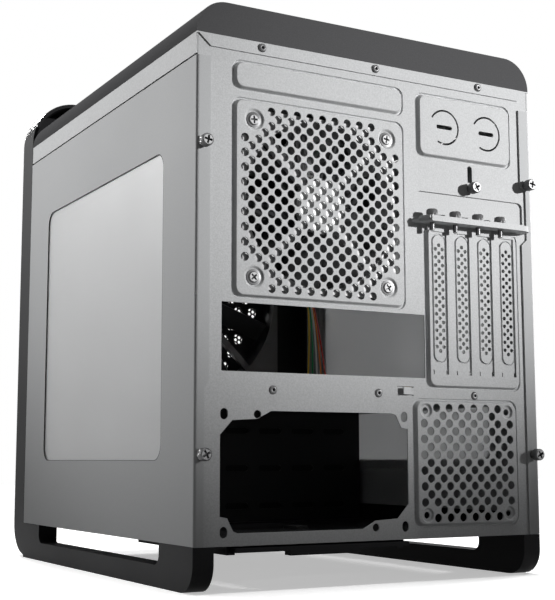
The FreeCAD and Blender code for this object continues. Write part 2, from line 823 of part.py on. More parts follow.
def chassis_front():
    """The front sheet: a round fan opening, low air slots and a window for the leads."""
    near, far = s.body_depth - s.steel, s.body_depth
    through = (near - 1, far + 1)
    plate = brick((-SHEET_HALF, SHEET_HALF), (near, far), (0, s.body_height - s.steel))
    returns = [brick((k * SHEET_HALF, k * (SHEET_HALF - s.steel)), (near - s.return_depth, near),
                     (s.base_flange + s.return_lift, s.body_height - s.strip_side_height)) for k in (-1, 1)]
    tools = [pin(0, s.front_fan_level, through, s.front_fan_opening)]
    tools += [pin(x, w, through, s.rear_fan_hole) for x, w in front_fan_corners()]
    tools += [obround(x, w, s.front_slot_length, s.front_slot_width, through)
              for x in (s.front_slot_side, -s.front_slot_side)
              for w in (s.front_slot_low + k * s.front_slot_pitch for k in range(int(s.front_slot_count)))]
    tools.append(cushion_box((-s.lead_side - s.lead_window_width / 2, -s.lead_side + s.lead_window_width / 2),
                             through, (s.lead_level - s.lead_window_height / 2,
                                       s.lead_level + s.lead_window_height / 2), s.lead_window_height / 4))
    return plate.fuse(returns).cut(tools)


def chassis_top():
    """The top plate with its side strips and the mitred rear strip that is riveted over the rear sheet."""
    high = s.body_height
    plate = brick((-HALF, HALF), (-s.steel, s.body_depth - s.steel), (high - s.steel, high))
    strips = [brick((k * HALF, k * (HALF - s.steel)), (0, s.body_depth - s.steel),
                    (high - s.strip_side_height, high)) for k in (-1, 1)]
    drop, end = s.strip_rear_height, HALF - s.strip_mitre_inset
    rear = prism([(-end, high - s.steel), (drop - end, high - drop), (end - drop, high - drop),
                  (end, high - s.steel)], (-s.steel, 0))
    through = (high - s.steel - 1, high + 1)
    tools = [post(0, (s.body_depth + k * s.top_opening_pitch) / 2, through, s.top_opening) for k in (-1, 1)]
    tools += [pin(x, w, (-s.steel - 1, 1), s.rivet_shank) for x, w in STRIP_RIVETS]
    return plate.fuse(strips + [rear]).cut(tools)


def motherboard_tray():
    """The level tray under the board, with its rear flange riveted to the rear sheet."""
    edge = HALF - s.tray_side_gap
    low = s.tray_level - s.steel
    plate = brick((-edge, edge), (s.steel, s.tray_depth), (low, s.tray_level))
    flange = (low - s.tray_flange, low)
    end = edge - s.tray_flange_inset
    rear = brick((-end, end), (s.steel, 2 * s.steel), flange)
    sides = [brick((k * edge, k * (edge - s.steel)), (s.return_depth + s.tray_flange_gap, s.tray_depth), flange)
             for k in (-1, 1)]
    over = (low - 1, s.tray_level + 1)
    tools = [flat_rounded((s.io_side - s.tray_window_width / 2, s.io_side + s.tray_window_width / 2),
                          (s.tray_window_rear, s.tray_window_rear + s.tray_window_depth), over,
                          s.tray_window_corner)]
    tools += [flat_rounded((x - s.cable_slot_width / 2, x + s.cable_slot_width / 2),
                           (s.cable_slot_rear, s.cable_slot_rear + s.cable_slot_depth), over,
                           s.cable_slot_depth / 2 - UNDER_HALF)
              for x in (-s.cable_slot_side, 0, s.cable_slot_side)]
    tools += [pin(x, w, (0, 3 * s.steel), s.rivet_shank) for x, w in TRAY_RIVETS]
    tools += [post(x, v, over, s.standoff_thread) for x, v in standoff_places()]
    return plate.fuse(sides + [rear]).cut(tools)


def standoff_places():
    side = HALF - s.standoff_left
    return [(side - x, s.standoff_rear + v) for x in (0, s.standoff_span_1, s.standoff_span_2)
            for v in (0, s.standoff_row_1, s.standoff_row_2)]


CAGE_SIDES = (HALF - s.cage_left - s.cage_length, HALF - s.cage_left)
CAGE_DEPTHS = (s.cage_rear, s.cage_rear + s.cage_inner + 2 * s.steel)
BAYS = [s.bay_low + k * s.bay_pitch for k in range(int(s.bay_count))]


def drive_cage():
    """A steel arch open at its -X side, with a pair of folded rails for each drive tray."""
    high = s.tray_level - s.steel
    (near, far), (low_x, high_x) = CAGE_DEPTHS, CAGE_SIDES
    roof = brick(CAGE_SIDES, CAGE_DEPTHS, (high - s.steel, high))
    walls = [brick(CAGE_SIDES, (near, near + s.steel), (s.steel, high)),
             brick(CAGE_SIDES, (far - s.steel, far), (s.steel, high))]
    stop = brick((high_x - s.steel, high_x), CAGE_DEPTHS, (s.steel, high))
    feet = [brick(CAGE_SIDES, (near - s.cage_foot, near), (s.steel, 2 * s.steel))]
    rails = [brick(CAGE_SIDES, depths, (w - s.rail_thick, w))
             for w in BAYS for depths in ((near + s.steel, near + s.steel + s.rail_width),
                                          (far - s.steel - s.rail_width, far - s.steel))]
    middle = (low_x + high_x) / 2
    slots = [obround(middle + k * s.drive_slot_pitch, w + s.caddy_height / 2, s.drive_slot_length,
                     s.drive_slot_width, (near - 1, near + s.steel + 1))
             for w in BAYS for k in (-1.5, -0.5, 0.5, 1.5)]
    vent = brick((high_x - s.steel - 1, high_x + 1), (near + s.cage_vent_side, far - s.cage_vent_side),
                 (s.steel + s.cage_vent_edge, high - s.cage_vent_edge))
    return roof.fuse(walls + feet + rails + [stop]).cut(slots + [vent])


def drive_tray(base):
    """An open plastic tray for one disk drive, with a grip at its outer end."""
    gap = s.caddy_side_gap
    depths = (CAGE_DEPTHS[0] + s.steel + gap, CAGE_DEPTHS[1] - s.steel - gap)
    sides = (CAGE_SIDES[0], CAGE_SIDES[1] - s.steel - 1)
    low = base + s.caddy_lift
    body = brick(sides, depths, (low, low + s.caddy_height))
    wall, floor = s.caddy_wall, s.caddy_floor
    hollow = brick((sides[0] + s.caddy_handle, sides[1] + 1), (depths[0] + wall, depths[1] - wall),
                   (low + floor, low + s.caddy_height + 1))
    middle = (depths[0] + depths[1]) / 2
    across = s.caddy_window_depth / 2
    windows = [flat_rounded((x, x + s.caddy_window_width), (middle - across, middle + across),
                            (low - 1, low + floor + 1), s.caddy_window_corner)
               for x in (sides[0] + s.caddy_window_first + k * s.caddy_window_pitch
                         for k in range(int(s.caddy_window_count)))]
    reach = s.caddy_grip_width / 2
    grip = flat_rounded((sides[0] - 1, sides[0] + s.caddy_handle - wall), (middle - reach, middle + reach),
                        (low + s.caddy_grip_edge, low + s.caddy_height - s.caddy_grip_edge), s.caddy_grip_corner)
    return body.cut([hollow, grip] + windows)


shaped("rear_panel", rear_panel())
shaped("chassis_base", chassis_base())
shaped("chassis_front", chassis_front())
shaped("chassis_top", chassis_top())
shaped("motherboard_tray", motherboard_tray())
shaped("drive_cage", drive_cage())
for number, bay in enumerate(BAYS, 1):
    shaped(f"drive_tray_{number}", drive_tray(bay))


# Slot covers, the sliding plate over the window, and what screws and rivets them down

def slot_cover(side):
    """A perforated cover plate with its tab folded over the ledge."""
    inner, outer = -s.steel + s.cover_thick, -s.steel
    half, tongue = s.cover_width / 2, s.cover_tongue_width / 2
    top = s.ledge_level + s.cover_thick
    neck = s.cover_shoulder - s.cover_width / 2 + tongue
    plate = prism([(side - half, top), (side - half, s.cover_shoulder), (side - tongue, neck),
                   (side - tongue, s.cover_tongue_low), (side + tongue, s.cover_tongue_low),
                   (side + tongue, neck), (side + half, s.cover_shoulder), (side + half, top)], (outer, inner))
    tab = brick((side - half, side + half), (-s.cover_tab, inner), (s.ledge_level, top))
    notch = post(side + s.cover_screw_offset, -s.cover_screw_depth, (s.ledge_level - 1, top + 1), s.thumb_hole)
    middle = (s.cover_oval_low + s.cover_oval_high) / 2
    span = s.cover_oval_high - s.cover_oval_low
    run = (span - s.cover_oval_width) / 2
    raised = (outer - s.cover_oval_rise, outer)
    oval = brick((side - s.cover_oval_width / 2, side + s.cover_oval_width / 2), raised,
                 (middle - run, middle + run)).fuse([pin(side, middle + k * run, raised, s.cover_oval_width)
                                                     for k in (-1, 1)])
    count = int((span - s.cover_oval_width / 2) / s.cover_hole_pitch)
    places = [(side, middle + (k - (count - 1) / 2) * s.cover_hole_pitch) for k in range(count)]
    places += [(side + a * s.cover_hole_column, middle + (k - (count - 2) / 2) * s.cover_hole_pitch)
               for a in (-1, 1) for k in range(count - 1)]
    holes = [pin(x, w, (raised[0] - 1, inner + 1), s.cover_hole) for x, w in places]
    return plate.fuse([tab, oval]).cut(holes + [notch])


def slot_plate():
    """The plate that closes the window over the ledge from inside; it slides up when its screw is loose."""
    (low_x, high_x), (low, high) = hatch()
    depths = (s.steel + s.plate_gap, 2 * s.steel + s.plate_gap)
    plate = cushion_box((low_x - s.plate_overlap / 2, high_x + s.plate_overlap), depths,
                        (low, s.plate_top), s.hatch_corner)
    return plate.cut(pin(-s.slot_side, s.plate_screw_level, (0, 4 * s.steel), s.thumb_shank))


def rivets():
    """Hollow rivets: three in the rear strip and three that hold the board tray."""
    group = []
    for places, outer, inner in ((STRIP_RIVETS, -s.steel, s.steel), (TRAY_RIVETS, 0, 2 * s.steel)):
        for x, w in places:
            head = pin(x, w, (outer - s.rivet_head_thick, outer), s.rivet_head)
            head = head.makeFillet(s.rivet_head_thick * 0.8, [e for e in head.Edges
                                                              if e.Curve.TypeId == "Part::GeomCircle"
                                                              and e.CenterOfMass.y > REAR - outer + 0.1])
            shank = pin(x, w, (outer, inner), s.rivet_shank)
            bore = pin(x, w, (outer - s.rivet_head_thick - 1, inner + 1), s.rivet_bore)
            group.append(head.fuse(shank).cut(bore))
    return Part.makeCompound(group)


for number, side in enumerate(SLOTS, 1):
    shaped(f"slot_cover_{number}", slot_cover(side))
shaped("slot_plate", slot_plate())
shaped("rivets", rivets())


# Screws

def turned(name, seat, axis, sense, sections):
    """Round sections on one axis from a seat: each has a diameter, a start and a length towards the head."""
    parts = []
    for number, (diameter, start, length) in enumerate(sections):
        place = list(seat)
        far = f"{seat[axis]} - ({start}) - ({length})"
        place[axis] = f"{seat[axis]} + ({start})" if sense > 0 else far
        parts.append(rod(f"{name}_{number}", place, f"{diameter} / 2", length, ALONG_Y if axis == 1 else None))
    return joined(name, parts)


def thumbscrew(name, seat, axis, reach):
    """A knurled thumbscrew with a driver slot in its head."""
    body = turned(f"{name}_body", seat, axis, 1, [("thumb_shank", f"-{reach}", reach),
                                                  ("thumb_collar", "0", "thumb_collar_length"),
                                                  ("thumb_head", "thumb_collar_length", "thumb_head_length")])
    face = f"{seat[axis]} + thumb_collar_length + thumb_head_length"
    low, high = ([f"{seat[i]} {sign} thumb_head" for i in range(3)] for sign in "-+")
    across = 3 - axis
    low[across], high[across] = (f"{seat[across]} {sign} thumb_slot / 2" for sign in "-+")
    low[axis], high[axis] = f"{face} - thumb_slot * 1.5", f"{face} + 1"
    return cut(name, body, [block(f"{name}_slot", low, high)])


def in_words(side, depth, height):
    """A place as three expressions."""
    return [side, f"REAR - ({depth})", f"FLOOR + {height}"]


for k, hand in ((1, "left"), (-1, "right")):
    pair = [thumbscrew(f"{hand}_thumbscrew_{spot}",
                       in_words(f"{k} * (HALF - panel_screw_inset)", "-skin_gap - steel", f"panel_screw_{spot}"),
                       1, "panel_shank_length") for spot in ("low", "high")]
    named(f"panel_thumbscrews_{hand}", joined(f"{hand}_thumbscrews", pair))

named("plate_thumbscrew", thumbscrew("plate_thumbscrew", in_words("-slot_side", "-skin_gap", "plate_screw_level"),
                                     1, "panel_shank_length"))
named("slot_thumbscrews", joined("slot_thumbscrew_group", [
    thumbscrew(f"slot_thumbscrew_{k}",
               in_words(f"-slot_side + (1.5 - {k}) * slot_pitch + cover_screw_offset", "-cover_screw_depth",
                        "ledge_level + cover_thick"), 2, "cover_shank_length") for k in range(4)]))
FAN_SCREW = [("fan_screw_head", "0", "fan_screw_head_thick"),
             ("rear_fan_hole", "-fan_screw_length", "fan_screw_length")]
FOOT_SCREW = [("foot_screw_head", "0", "foot_screw_head_thick"),
              ("foot_screw", "-foot_screw_length", "foot_screw_length")]
named("rear_fan_screws", joined("rear_fan_screw_group", [
    turned(f"rear_fan_screw_{a}{b}", in_words(f"upper_side {a} rear_fan_holes / 2", "dimple_depth - emboss",
                                              f"fan_level {b} rear_fan_holes / 2"), 1, 1,
           FAN_SCREW)
    for a in "+-" for b in "+-"]))
named("front_fan_screws", joined("front_fan_screw_group", [
    turned(f"front_fan_screw_{a}{b}", in_words(f"0 {a} front_fan_holes / 2", "body_depth",
                                               f"front_fan_level {b} front_fan_holes / 2"), 1, -1,
           FAN_SCREW)
    for a in "+-" for b in "+-"]))
named("foot_screws", joined("foot_screw_group", [
    turned(f"foot_screw_{a}{number}", in_words(f"0 {a} (HALF - foot_width / 2)", depth, "steel"), 2, 1,
           FOOT_SCREW)
    for a in "+-" for number, depth in enumerate(("foot_screw_inset", "body_depth - foot_screw_inset"))]))


# Posts, pads and feet

def standoff(name, across, inward):
    """A brass six-sided post with a bore, threaded into the tray."""
    side, depth = f"HALF - standoff_left - ({across})", f"standoff_rear + {inward}"
    top = doc.addObject("Part::Prism", f"{name}_top")
    top.Polygon = 6
    top.setExpression("Circumradius", bound("standoff_flats / 2 / cos(30)"))
    top.setExpression("Height", bound("standoff_height"))
    for base, text in zip("xyz", in_words(side, depth, "tray_level")):
        top.setExpression(f"Placement.Base.{base}", bound(text))
    thread = rod(f"{name}_thread", in_words(side, depth, "tray_level - steel"), "standoff_thread / 2", "steel")
    bore = rod(f"{name}_bore", in_words(side, depth, "tray_level"), "standoff_bore / 2", "standoff_height + 1")
    return cut(name, joined(f"{name}_solid", [top, thread]), [bore])


def foot(hand, sign):
    """A plastic foot bar with a long opening under the case, open towards the base."""
    name = f"foot_{hand}"
    sides = sorted((f"{sign} * HALF", f"{sign} * (HALF - foot_width)"), key=value)
    out = sorted((f"{sign} * (HALF + 1)", f"{sign} * (HALF - foot_width - 1)"), key=value)
    solid = block(f"{name}_solid", [sides[0], "FRONT", "0"], [sides[1], "REAR", "FLOOR"])
    ends = ("REAR - foot_opening_front", "REAR - foot_opening_rear")
    floor = "FLOOR - foot_bar"
    space = [block(f"{name}_space", [out[0], ends[0], f"{floor} + foot_opening_radius"],
                   [out[1], ends[1], "FLOOR + 1"]),
             block(f"{name}_low_space", [out[0], f"{ends[0]} + foot_opening_radius", floor],
                   [out[1], f"{ends[1]} - foot_opening_radius", "FLOOR"])]
    across = Rotation(Vector(0, 1, 0), 90)
    for spot, depth in enumerate((f"{ends[0]} + foot_opening_radius", f"{ends[1]} - foot_opening_radius")):
        space.append(rod(f"{name}_round_{spot}", [out[0], depth, f"{floor} + foot_opening_radius"],
                         "foot_opening_radius", "foot_width + 2", across))
    corner = block(f"{name}_corner", [out[0], "REAR - foot_rear_radius", "-1"],
                   [out[1], "REAR + 1", "foot_rear_radius"])
    keep = rod(f"{name}_keep", [out[0], "REAR - foot_rear_radius", "foot_rear_radius"], "foot_rear_radius",
               "foot_width + 2", across)
    space.append(cut(f"{name}_rear", corner, [keep]))
    for spot, depth in enumerate(("foot_screw_inset", "body_depth - foot_screw_inset")):
        space.append(rod(f"{name}_pilot_{spot}", [f"{sign} * (HALF - foot_width / 2)", f"REAR - ({depth})",
                                                  "FLOOR + steel - foot_screw_length"], "foot_screw / 2",
                         "foot_screw_length"))
    return cut(name, solid, space)


named("standoffs", joined("standoff_group", [
    standoff(f"standoff_{i}{j}", across, inward)
    for i, across in enumerate(("0", "standoff_span_1", "standoff_span_2"))
    for j, inward in enumerate(("0", "standoff_row_1", "standoff_row_2"))]))
named("psu_pads", joined("pad_group", [
    block(f"pad_{a}{end}", [f"supply_side {a} pad_span / 2 - pad_width / 2", f"REAR - pad_{end} - pad_length",
                            "FLOOR + steel"],
          [f"supply_side {a} pad_span / 2 + pad_width / 2", f"REAR - pad_{end}",
           "FLOOR + supply_level - supply_height / 2"])
    for a in "+-" for end in ("rear", "front")]))
named("foot_left", foot("left", 1))
named("foot_right", foot("right", -1))


# Dust filter under the power supply, and the rails that it slides in

FILTER_SIDES = ("filter_side - filter_width / 2", "filter_side + filter_width / 2")
FILTER_LEVELS = ("FLOOR - filter_drop - filter_thick", "FLOOR - filter_drop")
NET_SIDES = ("filter_side - filter_width / 2 + filter_border", "filter_side + filter_width / 2 - filter_border")
NET_DEPTHS = ("REAR - filter_length + filter_border", "REAR - filter_border")
BAY_STEP = "(filter_length - 2 * filter_border + filter_rib) / 3"


def filter_frame():
    """A plastic frame with two ribs and a handle at the rear, recessed for its net."""
    low, top = FILTER_LEVELS
    solid = block("filter_solid", [FILTER_SIDES[0], "REAR - filter_length", low], [FILTER_SIDES[1], "REAR", top])
    handle = block("filter_handle",
                   ["filter_side - handle_width / 2", "REAR - handle_depth", f"{top} - handle_height"],
                   ["filter_side + handle_width / 2", "REAR", top])
    recess = block("filter_recess", [NET_SIDES[0], NET_DEPTHS[0], f"{top} - filter_net"],
                   [NET_SIDES[1], NET_DEPTHS[1], f"{top} + 1"])
    bays = [block(f"filter_bay_{i}", [NET_SIDES[0], f"{NET_DEPTHS[0]} + {i} * {BAY_STEP}", f"{low} - 1"],
                  [NET_SIDES[1], f"{NET_DEPTHS[0]} + {i + 1} * {BAY_STEP} - filter_rib", top]) for i in range(3)]
    return cut("filter_cut", joined("filter_body", [solid, handle]), bays + [recess])


def filter_rails():
    """A plastic channel on three sides of the filter, open at the rear."""
    low, top = FILTER_LEVELS
    left, right = FILTER_SIDES
    under = f"{low} - guide_gap - guide_thick"
    lips = f"{low} - guide_gap"
    outer = [f"{left} - guide_gap - guide_thick", f"{right} + guide_gap + guide_thick"]
    depths = ("REAR - filter_length - guide_gap - guide_thick", "REAR - handle_depth - guide_thick")
    solid = block("rails_solid", [outer[0], depths[0], under], [outer[1], depths[1], "FLOOR"])
    space = block("rails_space", [f"{left} - guide_gap", "REAR - filter_length - guide_gap", lips],
                  [f"{right} + guide_gap", "REAR", "FLOOR + 1"])
    gap = block("rails_gap", [f"{left} + guide_lip", "REAR - filter_length + guide_lip", f"{under} - 1"],
                [f"{right} - guide_lip", "REAR", lips])
    return cut("rails_cut", solid, [space, gap])


named("psu_filter_frame", filter_frame())
named("psu_filter_net", block("filter_net_sheet",
                              [NET_SIDES[0], NET_DEPTHS[0], f"{FILTER_LEVELS[1]} - filter_net"],
                              [NET_SIDES[1], NET_DEPTHS[1], FILTER_LEVELS[1]]))
named("psu_filter_rails", filter_rails())


# Side panels with their windows

PANEL_TOP = s.body_height - s.strip_side_height - s.skin_gap


def side_panel(k):
    """A side skin with a rear flange and a window; k is 1 at +X and -1 at -X."""
    outer, inner = -s.skin_gap - s.steel, -s.skin_gap
    levels = (s.skin_gap, PANEL_TOP)
    skin = brick((k * HALF, k * (HALF - s.steel)), (outer, s.body_depth - s.skin_gap), levels)
    flange = brick((k * HALF, k * (HALF - s.flange_width)), (outer, inner), levels)
    tools = [side_rounded((k * (HALF + 1), k * (HALF - 2 * s.steel)), (s.window_rear, s.window_front),
                          (s.window_low, s.window_high), s.window_corner)]
    tools += [pin(k * x, w, THROUGH, s.thumb_shank) for x, w in PANEL_SCREWS]
    if k > 0:
        tools.append(brick((HALF - s.flange_width_low, 0), THROUGH, (0, s.flange_step_level)))
    else:
        tools.append(brick((s.flange_notch_width - HALF, 0), THROUGH, (s.flange_notch_low, s.flange_notch_high)))
    return skin.fuse(flange).cut(tools)


def window(hand, sign):
    """An acrylic sheet behind the panel's opening."""
    sides = sorted((f"{sign} * (HALF - steel)", f"{sign} * (HALF - steel - window_thick)"), key=value)
    return block(f"window_{hand}",
                 [sides[0], "REAR - window_front - window_overlap", "FLOOR + window_low - window_overlap"],
                 [sides[1], "REAR - window_rear + window_overlap", "FLOOR + window_high + window_overlap"])


for k, hand in ((1, "left"), (-1, "right")):
    shaped(f"side_panel_{hand}", side_panel(k))
    named(f"window_{hand}", window(hand, k))


# Plastic top cover

def cover_section(inset, depth):
    """The cover's section at a depth, drawn in by a wall, as a wire round its two shoulders."""
    a, low, high = HALF - inset, s.body_height, s.body_height + s.top_rise - inset
    r = s.top_shoulder - inset
    k = r * (1 - math.sqrt(0.5))
    points = [at(x, depth, w) for x, w in ((-a, low), (a, low), (a, high - r), (a - k, high - k), (a - r, high),
                                           (r - a, high), (k - a, high - k), (-a, high - r))]
    line = lambda i, j: Part.LineSegment(points[i], points[j]).toShape()
    arc = lambda i: Part.Arc(*points[i:i + 3]).toShape()
    return Part.Face(Part.Wire([line(0, 1), line(1, 2), arc(2), line(4, 5), arc(5), line(7, 0)]))


def top_cover():
    """A shell over the top plate, with two fields of air slots."""
    near, far = -s.steel, s.body_depth - s.top_gap
    wall, high = s.top_wall, s.body_height + s.top_rise
    shell = cover_section(0, far).extrude(Vector(0, far - near, 0))
    hollow = cover_section(wall, far - wall).extrude(Vector(0, far - near - 2 * wall, 0))
    run = (s.top_slot_count - 1) / 2
    slots = [flat_rounded((-s.top_slot_length / 2, s.top_slot_length / 2), (v, v + s.top_slot_width),
                          (high - wall - 1, high + 1), s.top_slot_width / 2 - UNDER_HALF)
             for middle in (-1, 1) for v in (s.body_depth / 2 + middle * s.top_opening_pitch / 2
                                             + (n - run) * s.top_slot_pitch - s.top_slot_width / 2
                                             for n in range(int(s.top_slot_count)))]
    return shell.cut([hollow] + slots)


shaped("top_cover", top_cover())


# Front bezel with its controls

WALL_DEPTH = s.body_depth + s.bezel_depth - s.bezel_wall
BOARD_DEPTH = s.body_depth + s.bezel_depth - s.board_depth


def bezel_block(inset, depths, low):
    """The bezel's solid, drawn in by a wall: its arch is round above, and its front edge is round below."""
    top = s.body_height + s.bezel_rise
    sides = (inset - HALF, HALF - inset)
    body = brick(sides, depths, (low, top - inset))
    edges = [e for e in body.Edges if abs(e.tangentAt(e.FirstParameter).y) > 0.99
             and e.CenterOfMass.z > level(top - inset) - 1]
    body = body.makeFillet(s.bezel_corner - inset, edges)
    front = [e for e in body.Edges if abs(e.tangentAt(e.FirstParameter).x) > 0.99
             and e.CenterOfMass.z < level(low) + 1 and e.CenterOfMass.y < REAR - max(depths) + 1]
    return body.makeFillet(s.bezel_foot_radius - inset, front)


def front_bezel():
    """The plastic front: an arch on two legs, hollow behind, with holes for the grille and the controls."""
    far = s.body_depth + s.bezel_depth
    wall = s.bezel_wall
    body = bezel_block(0, (s.body_depth, far), -s.foot_height)
    gap = s.body_width / 2 - s.bezel_leg_width
    between = brick((-gap, gap), (s.body_depth - 1, far + 1), (-s.foot_height - 1, 0))
    hollow = bezel_block(wall, (s.body_depth - 1, far - wall), wall - s.foot_height)
    hollow = hollow.cut(brick((-gap - wall, gap + wall), (s.body_depth - 2, far), (-s.foot_height, wall)))
    body = body.cut(between)
    rim = [e for e in body.Edges if e.CenterOfMass.y < REAR - far + s.bezel_foot_radius
           and on_front_rim(e, far)]
    body = body.makeFillet(s.bezel_edge, rim)
    side = HALF - s.grille_side_margin
    through = (far - wall - 1, far + 1)
    tools = [hollow, cushion_box((-side, side), through, (s.grille_low, s.grille_high), s.grille_corner)]
    tools.append(pin(0, s.control_level, through, s.power_diameter + 2 * s.button_gap))
    tools.append(pin(-s.reset_side, s.control_level, through, s.reset_diameter + 2 * s.button_gap))
    tools += [brick((x - s.usb_width / 2, x + s.usb_width / 2), through,
                    (s.control_level - s.usb_height / 2, s.control_level + s.usb_height / 2)) for x in usb_sides()]
    tools += [pin(x, s.control_level, through, s.audio_outer) for x in audio_sides()]
    posts = [pin(k * (s.board_width / 2 - s.post_diameter), s.control_level, (BOARD_DEPTH, far - wall + 1),
                 s.post_diameter) for k in (-1, 1)]
    return body.cut(tools).fuse(posts)


def on_front_rim(edge, far):
    """Whether an edge belongs to the outer outline of the bezel's front face."""
    middle = edge.valueAt((edge.FirstParameter + edge.LastParameter) / 2)
    flat = abs(middle.y - (REAR - far)) < 0.01
    outer = abs(middle.x) > HALF - s.bezel_corner - 0.01 or middle.z > level(s.body_height)
    return flat and outer and abs(abs(middle.x) - (HALF - s.bezel_leg_width)) > 0.5


def usb_sides():
    return [(k - 0.5) * s.usb_pitch - s.usb_side for k in (0, 1)]


def audio_sides():
    return [s.audio_side + k * s.audio_pitch / 2 for k in (-1, 1)]


def front_grille():
    """A steel grille sheet behind the bezel's opening, with rows of level slots."""
    side = HALF - s.grille_side_margin + s.grille_overlap
    levels = (s.grille_low - s.grille_overlap, s.grille_high + s.grille_overlap)
    middle = sum(levels) / 2
    high = s.grille_slot_height / 2
    holes = []
    for column in (-1, 0, 1):
        for row in range(int(s.grille_row_count)):
            w = middle + (row - (s.grille_row_count - 1) / 2) * s.grille_row_pitch
            a, b = (column * s.grille_column_pitch + k * s.grille_slot_length / 2 for k in (-1, 1))
            corners = [at(x, WALL_DEPTH, z)
                       for x, z in ((a, w - high), (a, w + high), (b, w + high), (b, w - high))]
            holes.append(Part.makePolygon(corners + corners[:1]))
    outline = rounded((-side, side), levels, s.grille_corner + s.grille_overlap, WALL_DEPTH)
    return perforated(outline, holes, WALL_DEPTH, s.grille_thick)


shaped("front_bezel", front_bezel())
shaped("front_grille", front_grille())


# Buttons, sockets and the board that they work on

def button(name, side, diameter, travel):
    """A push button turned about its own axis: a cap, a rim behind the wall and a stem to its switch."""
    cap, rim, stem = f"{diameter} / 2", f"{diameter} / 2 + button_rim", "button_stem / 2"
    behind = "button_proud + bezel_wall + button_gap"
    end = f"board_depth - switch_height - {travel} - button_gap + button_proud"
    body = revolved(name, [("0", "0"), (f"{cap} - button_proud", "0"), (cap, "button_proud"), (cap, behind),
                           (rim, behind), (rim, f"{behind} + button_rim"), (stem, f"{behind} + button_rim"),
                           (stem, end), ("0", end)])
    body.Placement = Placement(Vector(), ALONG_Y)
    for base, text in zip("xyz", (side, "FRONT - bezel_depth - button_proud", "FLOOR + control_level")):
        body.setExpression(f"Placement.Base.{base}", bound(text))
    return body


BOARD_FACE = "FRONT - bezel_depth + board_depth"
SOCKET_FACE = "FRONT - bezel_depth + socket_inset"
HEADER_LOW = "FLOOR + control_level - board_height / 2"


def socket_shell(name, number):
    """A steel socket from the board to the bezel's face, open at the front, with a tongue inside."""
    side = f"({number} - 0.5) * usb_pitch - usb_side"
    low = [f"{side} - usb_width / 2", SOCKET_FACE, "FLOOR + control_level - usb_height / 2"]
    high = [f"{side} + usb_width / 2", BOARD_FACE, "FLOOR + control_level + usb_height / 2"]
    space = block(f"{name}_space", [f"{low[0]} + usb_wall", f"{low[1]} - 1", f"{low[2]} + usb_wall"],
                  [f"{high[0]} - usb_wall", f"{high[1]} - 2 * usb_wall", f"{high[2]} - usb_wall"])
    tongue = block(f"{name}_tongue",
                   [f"{low[0]} + 2.5 * usb_wall", f"{low[1]} + usb_wall", f"{high[2]} - usb_height / 2"],
                   [f"{high[0]} - 2.5 * usb_wall", f"{high[1]} - usb_wall", f"{high[2]} - 2.5 * usb_wall"])
    return joined(name, [cut(f"{name}_shell", block(f"{name}_solid", low, high), [space]), tongue])


def jack(name, number):
    """A round audio socket with a deep bore."""
    place = [f"audio_side + ({number} - 0.5) * audio_pitch", SOCKET_FACE, "FLOOR + control_level"]
    length = "board_depth - socket_inset"
    barrel = rod(f"{name}_barrel", place, "audio_outer / 2", length, ALONG_Y)
    bore = rod(f"{name}_bore", place, "audio_bore / 2", f"{length} - audio_floor", ALONG_Y)
    return cut(name, barrel, [bore])


def front_board():
    """The small circuit board behind the controls, with its lead header."""
    card = block("board_card", ["0 - board_width / 2", BOARD_FACE, "FLOOR + control_level - board_height / 2"],
                 ["board_width / 2", f"{BOARD_FACE} + board_thick", "FLOOR + control_level + board_height / 2"])
    header = block("board_header", ["header_inset - board_width / 2", f"{BOARD_FACE} + board_thick", HEADER_LOW],
                   ["0 - board_width / 2 + 6 * lead_pitch", f"{BOARD_FACE} + board_thick + header_depth / 2",
                    f"{HEADER_LOW} + header_depth"])
    return joined("board_solid", [card, header])


def switch(name, side):
    return block(name, [f"{side} - switch_width / 2", f"{BOARD_FACE} - switch_height",
                        "FLOOR + control_level - switch_width / 2"],
                 [f"{side} + switch_width / 2", BOARD_FACE, "FLOOR + control_level + switch_width / 2"])


named("power_button", button("power_button", "0", "power_diameter", "power_travel"))
named("reset_button", button("reset_button", "0 - reset_side", "reset_diameter", "reset_travel"))
named("usb_sockets", joined("usb_pair", [socket_shell(f"usb_{k}", k) for k in (0, 1)]))
named("audio_sockets", joined("audio_pair", [jack(f"audio_{k}", k) for k in (0, 1)]))
named("front_board", front_board())
named("button_switches", joined("switch_pair", [switch("power_switch", "0"),
                                                switch("reset_switch", "0 - reset_side")]))


# Fans

def about(shape, side, height, angle):
    """A shape turned about an axis along the case's depth."""
    turned_shape = shape.copy()
    turned_shape.rotate(at(side, 0, height), Vector(0, 1, 0), angle)
    return turned_shape


def fan_frame(side, height, near, size, depth, bore, hub, holes):
    """A fan's square frame: two flanges on a ring, and four struts that hold the motor's cup at the rear."""
    half, far = size / 2, near + depth
    sides, levels = (side - half, side + half), (height - half, height + half)
    flanges = [cushion_box(sides, span, levels, s.fan_corner)
               for span in ((near, near + s.fan_flange), (far - s.fan_flange, far))]
    ring = pin(side, height, (near, far), bore + 2 * s.fan_wall)
    tools = [pin(side, height, (near - 1, far + 1), bore)]
    tools += [pin(side + a * holes / 2, height + b * holes / 2, (near - 1, far + 1), s.rear_fan_hole)
              for a in (-1, 1) for b in (-1, 1)]
    frame = ring.fuse(flanges).cut(tools)
    arm = brick((side, side + bore / 2 + s.fan_wall / 2), (near, near + s.strut_thick),
                (height - s.strut_width / 2, height + s.strut_width / 2))
    struts = [about(arm, side, height, 45 + 90 * k) for k in range(4)]
    cup = pin(side, height, (near, near + s.strut_thick), hub)
    socket = pin(side, height, (near + s.strut_thick / 4, near + s.strut_thick + 1),
                 s.fan_shaft + 2 * s.shaft_gap)
    return frame.fuse(struts + [cup]).cut(socket)


